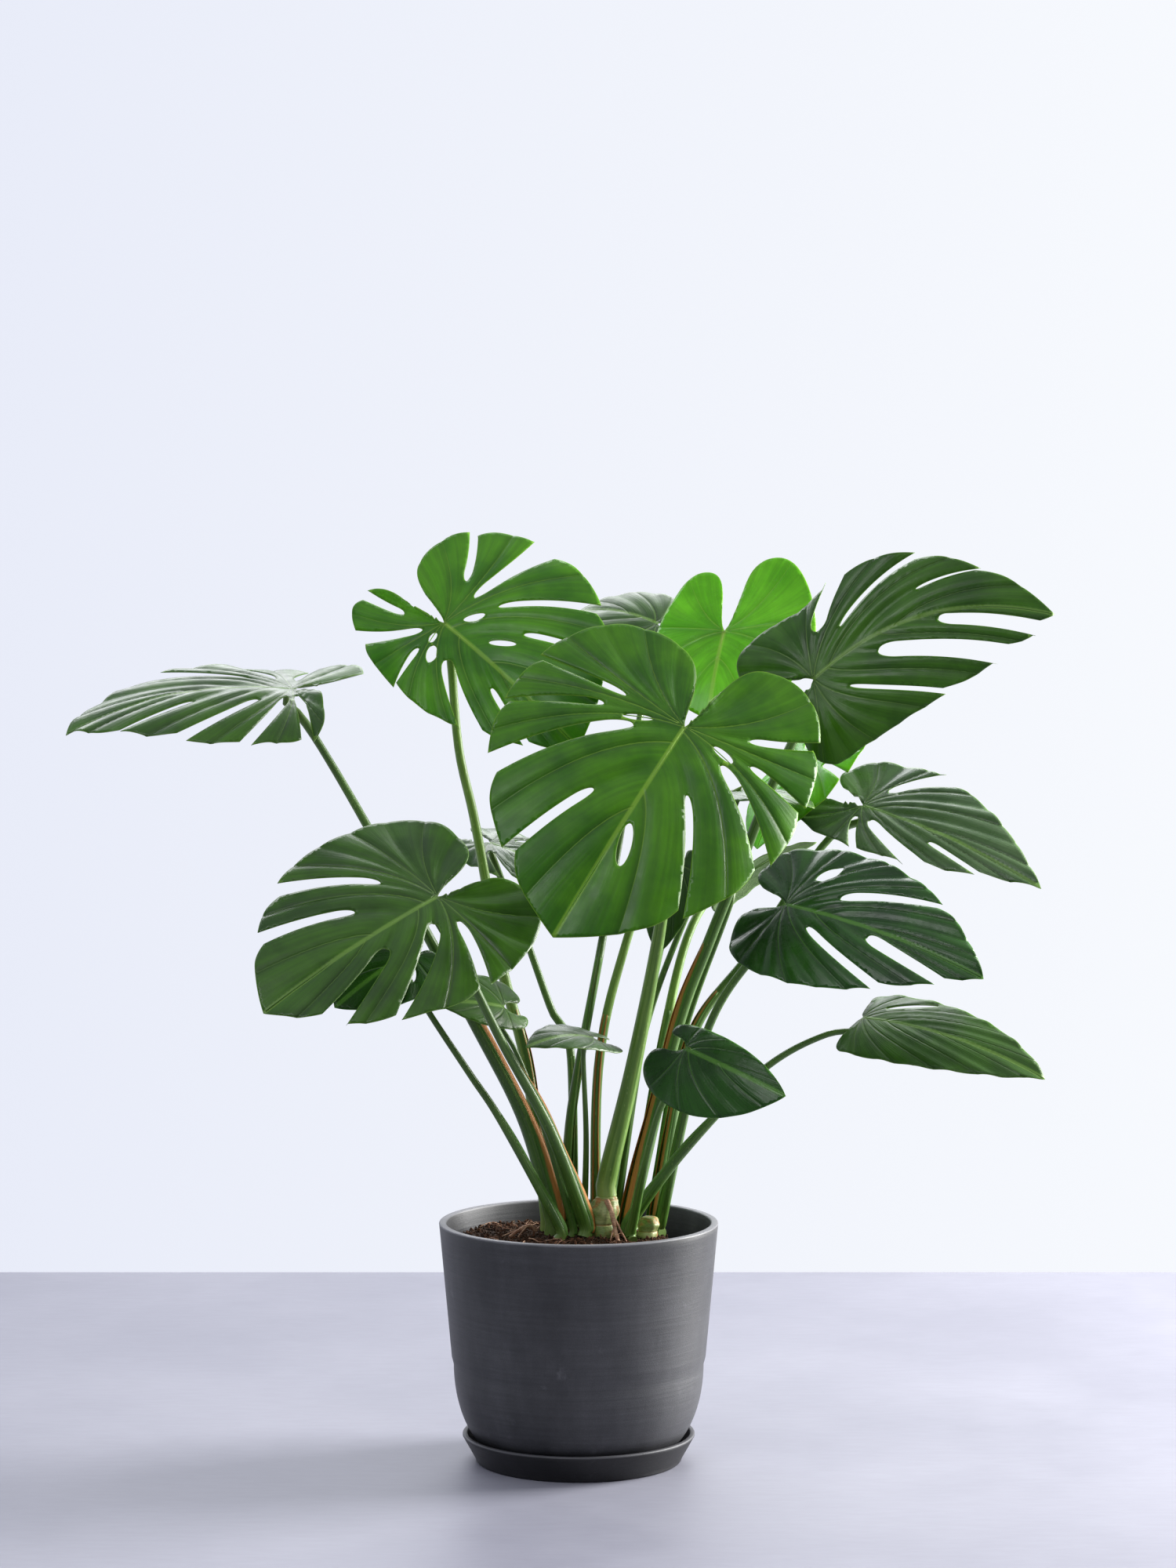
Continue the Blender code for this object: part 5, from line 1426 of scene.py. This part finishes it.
@dataclass
class RootBall:
    """The potting mix in the shape of the smaller pot that it grew in, with chips and grit on its top."""

    centre: Pair = (-16.0, -1.0)
    top_radius: float = 116.0
    foot_radius: float = 88.0
    height: float = 241.0
    crown: float = 4.0
    low: float = 14.9
    sides: int = 120

    def top(self, x: np.ndarray, y: np.ndarray) -> np.ndarray:
        """The height of the lumpy top at points measured from the ball's axis."""
        out = np.hypot(x, y) / self.top_radius
        points = np.stack([x, y, np.zeros_like(x)], axis=-1)
        lumps = 2.2 * wobble(points, 16.0, 1.3) + 1.2 * wobble(points, 6.0, 4.1)
        return self.height + self.crown * (1 - out ** 2) + lumps * np.clip((1.02 - out) / 0.1, 0, 1) - 1.2

    def make_ball(self, earth: bpy.types.Material) -> None:
        """Build the ball: a turned plug whose top and sides are roughened."""
        profile = [(0.0, self.low), (46.0, self.low), (60.0, self.low + 12.0), (self.foot_radius, self.low + 42.0)]
        profile += [(self.foot_radius + (self.top_radius - self.foot_radius) * t, self.low + 42 + 165 * t)
                    for t in np.linspace(0.1, 1.0, 24)]
        profile += [(self.top_radius - 1.5, self.height - 6.0), (self.top_radius - 4.0, self.height - 3.0)]
        profile += [(radius, self.height) for radius in np.linspace(self.top_radius - 8.0, 2.0, 44)] + [(0.0, self.height)]
        ball = turned("root_ball", profile, (0, 0), self.sides, earth)
        flat = np.zeros(len(ball.data.vertices) * 3)
        ball.data.vertices.foreach_get("co", flat)
        points = flat.reshape(-1, 3) / MM
        on_top = points[:, 2] > self.height - 4.0
        points[on_top, 2] += (self.top(points[:, 0], points[:, 1]) - self.height)[on_top]
        rough = 1.0 + 0.012 * wobble(points, 9.0, 2.2) * np.clip((points[:, 2] - 40) / 40, 0, 1)
        points[:, :2] *= np.where(on_top, 1.0, rough)[:, None]
        points += (self.centre[0], self.centre[1], 0.0)
        ball.data.vertices.foreach_set("co", (points * MM).reshape(-1))
        ball.data.update()
        settle(ball, "potting_soil", "soil")

    def top_guide(self) -> bpy.types.Mesh:
        """A disc that follows the lumpy top, for the scattering tree."""
        radii = np.linspace(0.0, self.top_radius - 4.0, 24)
        turns = np.linspace(0, 2 * math.pi, 60, endpoint=False)
        points = [(r * math.cos(a), r * math.sin(a)) for r in radii for a in turns]
        x, y = np.array(points).T
        solid = np.stack([x + self.centre[0], y + self.centre[1], self.top(x, y) + 0.3], axis=1) * MM
        faces = []
        for ring in range(len(radii) - 1):
            for i in range(60):
                a, b = ring * 60 + i, ring * 60 + (i + 1) % 60
                faces.append((a, a + 60, b + 60, b))
        mesh = bpy.data.meshes.new("soil_top")
        mesh.from_pydata(solid.tolist(), [], faces)
        return mesh

    def make_litter(self, crumbs: Growth, tubes: Growth, earth: bpy.types.Material, bark: bpy.types.Material,
                    grit: bpy.types.Material, root: bpy.types.Material) -> None:
        """Scatter crumbs, bark chips and grit over the top, and lay fine rootlets on it.

        Args:
            crumbs: The scattering tree.
            tubes: The tube tree.
            earth: Crumbs' material.
            bark: Chips' material.
            grit: Grit's material.
            root: Rootlets' material.
        """
        guide = self.top_guide()
        kinds = (("soil_crumbs", 52000.0, 1.9, (1.0, 0.9, 0.8), 3, earth, "potting_soil"),
                 ("bark_chips", 9000.0, 3.6, (1.6, 0.8, 0.45), 8, bark, "potting_soil"),
                 ("pale_grit", 3600.0, 1.3, (1.0, 0.9, 0.8), 5, grit, "potting_soil"))
        for name, density, size, stretch, seed, finish, slot in kinds:
            piece = crumbs.grow(name, guide, Density=density, Size=size * MM, Stretch=stretch, Seed=seed, Finish=finish)
            settle(piece, slot)
        random = np.random.default_rng(12)
        lines = []
        for _ in range(38):
            start = random.uniform(-85, 85, 2)
            heading = random.uniform(0, 2 * math.pi)
            length = random.uniform(12, 42)
            t = np.linspace(0, 1, 12)
            bend = random.uniform(-1.4, 1.4)
            x = start[0] + length * t * np.cos(heading + bend * t)
            y = start[1] + length * t * np.sin(heading + bend * t)
            keep = np.hypot(x, y) < self.top_radius - 8
            if keep.sum() < 6:
                continue
            x, y = x[keep], y[keep]
            z = self.top(x, y) + 1.0 + 1.8 * np.abs(np.sin(5 * t[keep] + bend))
            path = np.stack([x + self.centre[0], y + self.centre[1], z], axis=1)
            lines.append((path, np.linspace(random.uniform(0.5, 0.95), 0.2, len(path))))
        settle(tubes.grow("fine_rootlets", line_guide("rootlets", lines), Sides=6, Finish=root), "aerial_root")


@dataclass
class Stem:
    """A short knotted stem standing in the soil: swollen, ringed with leaf scars, with buds on its flanks."""

    name: str
    centre: Pair
    radius: float
    top: float
    lean: Pair
    low: float = 240.0
    rows: int = 60
    sides: int = 56

    def make(self, flesh: bpy.types.Material) -> None:
        """Build the stem from rings and store where its scars are."""
        share = np.linspace(0, 1, self.rows)
        height = self.low + (self.top - self.low) * share
        body = 0.80 + 0.20 * np.sin(np.pi * (0.15 + 0.75 * share))
        ringed = np.abs(((share ** 0.8 * 2.0 + 0.15) % 1.0) - 0.5) * 2
        groove = np.exp(-((1 - ringed) / 0.07) ** 2)
        radius = self.radius * body * (1 + 0.07 * np.sin(share * 12.5)) * (1 - 0.08 * groove)
        radius *= np.sqrt(np.clip(1 - np.clip((share - 0.86) / 0.15, 0, 1) ** 2.2, 0.0, 1))
        turns = np.linspace(0, 2 * math.pi, self.sides, endpoint=False)
        x = radius[:, None] * np.cos(turns)[None]
        y = radius[:, None] * np.sin(turns)[None]
        z = np.broadcast_to(height[:, None], x.shape)
        points = np.stack([x, y, z], axis=-1)
        points[..., :2] *= (1 + 0.16 * wobble(points, 11.0, self.radius))[..., None]
        points[..., 0] += self.centre[0] + self.lean[0] * share[:, None]
        points[..., 1] += self.centre[1] + self.lean[1] * share[:, None]
        flat = points.reshape(-1, 3)
        faces = [(r * self.sides + i, r * self.sides + (i + 1) % self.sides,
                  (r + 1) * self.sides + (i + 1) % self.sides, (r + 1) * self.sides + i)
                 for r in range(self.rows - 1) for i in range(self.sides)]
        faces.append(tuple(range(self.sides))[::-1])
        faces.append(tuple((self.rows - 1) * self.sides + i for i in range(self.sides)))
        mesh = bpy.data.meshes.new("knotted_" + self.name)
        mesh.from_pydata((flat * MM).tolist(), [], faces)
        mesh.attributes.new("scar", "FLOAT", "POINT").data.foreach_set("value", np.repeat(groove * 0.7, self.sides))
        mesh.shade_smooth()
        settle(add_object("knotted_" + self.name, mesh, flesh), "green_stem", self.name)


@dataclass
class AerialRoot:
    """A root that leaves the stem and dives into the soil, with a few side roots."""

    name: str
    route: Tuple[Point, ...]
    radius: float
    points: int = 30

    def make(self, tubes: Growth, bark: bpy.types.Material) -> None:
        """Build the root and its forks."""
        path = smooth_path([np.array(p, float) for p in self.route], self.points)
        share = np.linspace(0, 1, self.points)
        knots = 1 + 0.12 * np.sin(share * 31) * np.sin(share * 17)
        lines = [(path, self.radius * (1 - 0.35 * share) * knots)]
        for start, swing in ((0.35, 9.0), (0.6, -8.0)):
            first = int(start * self.points)
            side = path[first:] + np.outer(np.linspace(0, 1, self.points - first) ** 0.8, (swing, -0.3 * swing, 0.5))
            lines.append((side, self.radius * np.linspace(0.45, 0.22, len(side))))
        piece = tubes.grow("aerial_" + self.name, line_guide(self.name, lines), Sides=12, Finish=bark)
        settle(piece, "aerial_root", self.name)


@dataclass
class Studio:
    """Pale floor, soft light and the camera."""

    floor_half: float = 1.10
    floor_thick: float = 0.02
    lens: float = 88.2
    eye: Point = (0.010, -4.095, 0.958)
    tilt: float = 3.21

    def make_floor(self, finish: FloorFinish) -> None:
        """Lay the floor slab just under the saucer."""
        shape = bmesh.new()
        bmesh.ops.create_cube(shape, size=2.0)
        bmesh.ops.scale(shape, verts=shape.verts, vec=(self.floor_half, self.floor_half, self.floor_thick / 2))
        bmesh.ops.translate(shape, verts=shape.verts, vec=(0, 0, -self.floor_thick / 2 - 0.0004))
        mesh = bpy.data.meshes.new("floor")
        shape.to_mesh(mesh)
        shape.free()
        add_object("floor", mesh, finish.material())

    def light_world(self) -> None:
        """Surround the plant: a bright cool wall behind, brighter to the right, and a dim room in front."""
        world = bpy.data.worlds.new("studio")
        bpy.context.scene.world = world
        world.use_nodes = True
        world.node_tree.nodes.clear()
        bench = Bench(world.node_tree)
        ray = bench.add("ShaderNodeTexCoord").outputs["Generated"]
        parts = bench.add("ShaderNodeSeparateXYZ", {0: ray}).outputs
        x = parts[0]
        wall = bench.add("ShaderNodeMapRange", {0: parts[1], 1: -0.45, 2: 0.35, 3: 0.40, 4: 1.0}).outputs[0]
        ceiling = bench.add("ShaderNodeMapRange", {0: parts[2], 1: 0.25, 2: 0.9, 3: 0.0, 4: 0.85}).outputs[0]
        power = bench.add("ShaderNodeMath", {0: wall, 1: ceiling}, operation="MAXIMUM").outputs[0]
        share = bench.add("ShaderNodeMapRange", {0: x, 1: -0.18, 2: 0.2, 3: 0.0, 4: 1.0}).outputs[0]
        colour = bench.add("ShaderNodeMix", {0: share, 6: (0.80, 0.83, 0.94, 1), 7: (0.95, 0.97, 1.0, 1)},
                           data_type="RGBA").outputs[2]
        back = bench.add("ShaderNodeBackground", {"Color": colour, "Strength": power}).outputs[0]
        bench.add("ShaderNodeOutputWorld", {"Surface": back})

    def add_light(self, name: str, spot: Point, target: Point, size: Pair, power: float, colour: Point) -> None:
        """Hang one soft rectangular light.

        Args:
            name: The light's name.
            spot: Where it hangs.
            target: What it points at.
            size: Its width and height in metres.
            power: Its power in watts.
            colour: Its colour.
        """
        data = bpy.data.lights.new(name, "AREA")
        data.shape = "RECTANGLE"
        data.size, data.size_y = size
        data.energy = power
        data.color = colour
        lamp = bpy.data.objects.new(name, data)
        bpy.context.scene.collection.objects.link(lamp)
        lamp.location = spot
        lamp.rotation_euler = (Vector(target) - Vector(spot)).to_track_quat("-Z", "Y").to_euler()

    def add_camera(self) -> None:
        """Stand the camera in front, level with the upper leaves and tipped slightly down."""
        data = bpy.data.cameras.new("camera")
        data.lens = self.lens
        data.sensor_width = 36.0
        data.dof.use_dof = False
        camera = bpy.data.objects.new("camera", data)
        bpy.context.scene.collection.objects.link(camera)
        camera.location = self.eye
        camera.rotation_euler = (math.radians(90.0 - self.tilt), 0.0, 0.0)
        bpy.context.scene.camera = camera

    def build(self) -> None:
        """Set the whole studio up."""
        self.make_floor(FloorFinish("pale_floor", (0.212, 0.212, 0.264, 1), (0.252, 0.252, 0.305, 1)))
        self.light_world()
        self.add_light("key_right", (2.3, 0.7, 1.15), (0.0, 0.0, 0.45), (1.2, 1.8), 215.0, (1.0, 0.99, 0.96))
        self.add_light("front_top", (-0.9, -2.0, 2.9), (0.0, 0.0, 0.6), (1.6, 1.2), 30.0, (0.97, 0.98, 1.0))
        self.add_light("rear_top", (-0.4, 2.3, 2.3), (0.0, 0.0, 0.8), (2.6, 1.3), 50.0, (0.97, 0.98, 1.0))
        self.add_camera()
        bpy.context.scene.view_settings.view_transform = "Standard"


def report_fit(blade: Blade) -> None:
    """Log how far the blade's outline strays from its CAD solid's box, in millimetres."""
    low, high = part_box("leaf_" + blade.leaf.name)
    edge = blade.place(blade.outline(6.0))
    drift = max(np.abs(edge.min(0) - np.array(low) / MM).max(), np.abs(edge.max(0) - np.array(high) / MM).max())
    log.info("%s: outline within %.1f mm of its solid", blade.leaf.name, drift)


def main() -> None:
    """Build every piece in order."""
    logging.basicConfig(level=logging.INFO, format="%(message)s")
    Studio().build()
    tubes, crumbs = tube_growth(), crumb_growth()
    pot_clay = ClayFinish("charcoal_ware", (0.026, 0.027, 0.031, 1), (0.060, 0.061, 0.068, 1),
                          (0.17, 0.17, 0.19, 1), 0.258, 0.50)
    saucer_clay = ClayFinish("dark_ware", (0.004, 0.004, 0.005, 1), (0.012, 0.012, 0.014, 1),
                             (0.07, 0.07, 0.08, 1), 0.030, 0.48)
    planter = Planter()
    planter.make_saucer(saucer_clay.material())
    planter.make_pot(pot_clay.material())

    earth = EarthFinish("potting_mix", (0.012, 0.006, 0.003, 1), (0.060, 0.028, 0.013, 1), (0.16, 0.085, 0.045, 1), 120.0)
    bark = EarthFinish("chipped_bark", (0.030, 0.012, 0.006, 1), (0.13, 0.055, 0.028, 1), (0.28, 0.15, 0.09, 1), 160.0)
    grit = EarthFinish("white_grit", (0.20, 0.16, 0.12, 1), (0.40, 0.34, 0.27, 1), (0.62, 0.57, 0.50, 1), 300.0)
    root_bark = RootFinish("root_bark").material()
    ball = RootBall()
    ball.make_ball(earth.material())
    ball.make_litter(crumbs, tubes, EarthFinish("loose_mix", earth.dark, earth.middle, earth.light, 150.0).material(),
                     bark.material(), grit.material(), root_bark)

    flesh = StemFinish("stem_flesh").material()
    Stem("stem_main", (24.0, -3.0), 16.0, 287.0, (6.0, 2.0)).make(flesh)
    Stem("stem_right", (74.0, -5.0), 11.5, 264.0, (2.0, 2.0)).make(flesh)
    AerialRoot("root_front", ((30, -13, 282), (35, -22, 272), (39, -38, 256), (42, -53, 245)), 3.0).make(tubes, root_bark)
    AerialRoot("root_side", ((-46, 2, 247), (-54, -4, 253), (-64, -12, 250), (-74, -20, 244)), 2.5).make(tubes, root_bark)

    fresh_green = StalkFinish("stalk_fresh", (0.085, 0.200, 0.018, 1), (0.190, 0.330, 0.050, 1),
                              (0.36, 0.46, 0.14, 1)).material()
    deep_green = StalkFinish("stalk_deep", (0.035, 0.100, 0.010, 1), (0.090, 0.190, 0.024, 1),
                             (0.22, 0.32, 0.08, 1)).material()
    papery = SheathFinish("papery_sheath").material()
    skins = {key: (finish, finish.face(), finish.underside(), finish.rib()) for key, finish in LEAF_FINISHES.items()}
    for number, leaf in enumerate(LEAVES):
        finish, face, underside, pale = skins[leaf.finish]
        blade = LeafBlade(leaf, number)
        blade.make_blade(finish, face, underside)
        blade.make_ribs(tubes, finish, pale)
        report_fit(blade.blade)
        stalk = Stalk(leaf)
        # Stalks of the young leaves and of the leaves with painted light take the fresher green; the rest take the deep
        # green.
        stalk.make_tube(tubes, deep_green if leaf.finish in ("mature", "dark", "silvery") else fresh_green)
        stalk.make_sheath(papery)


if __name__ == "__main__":
    main()
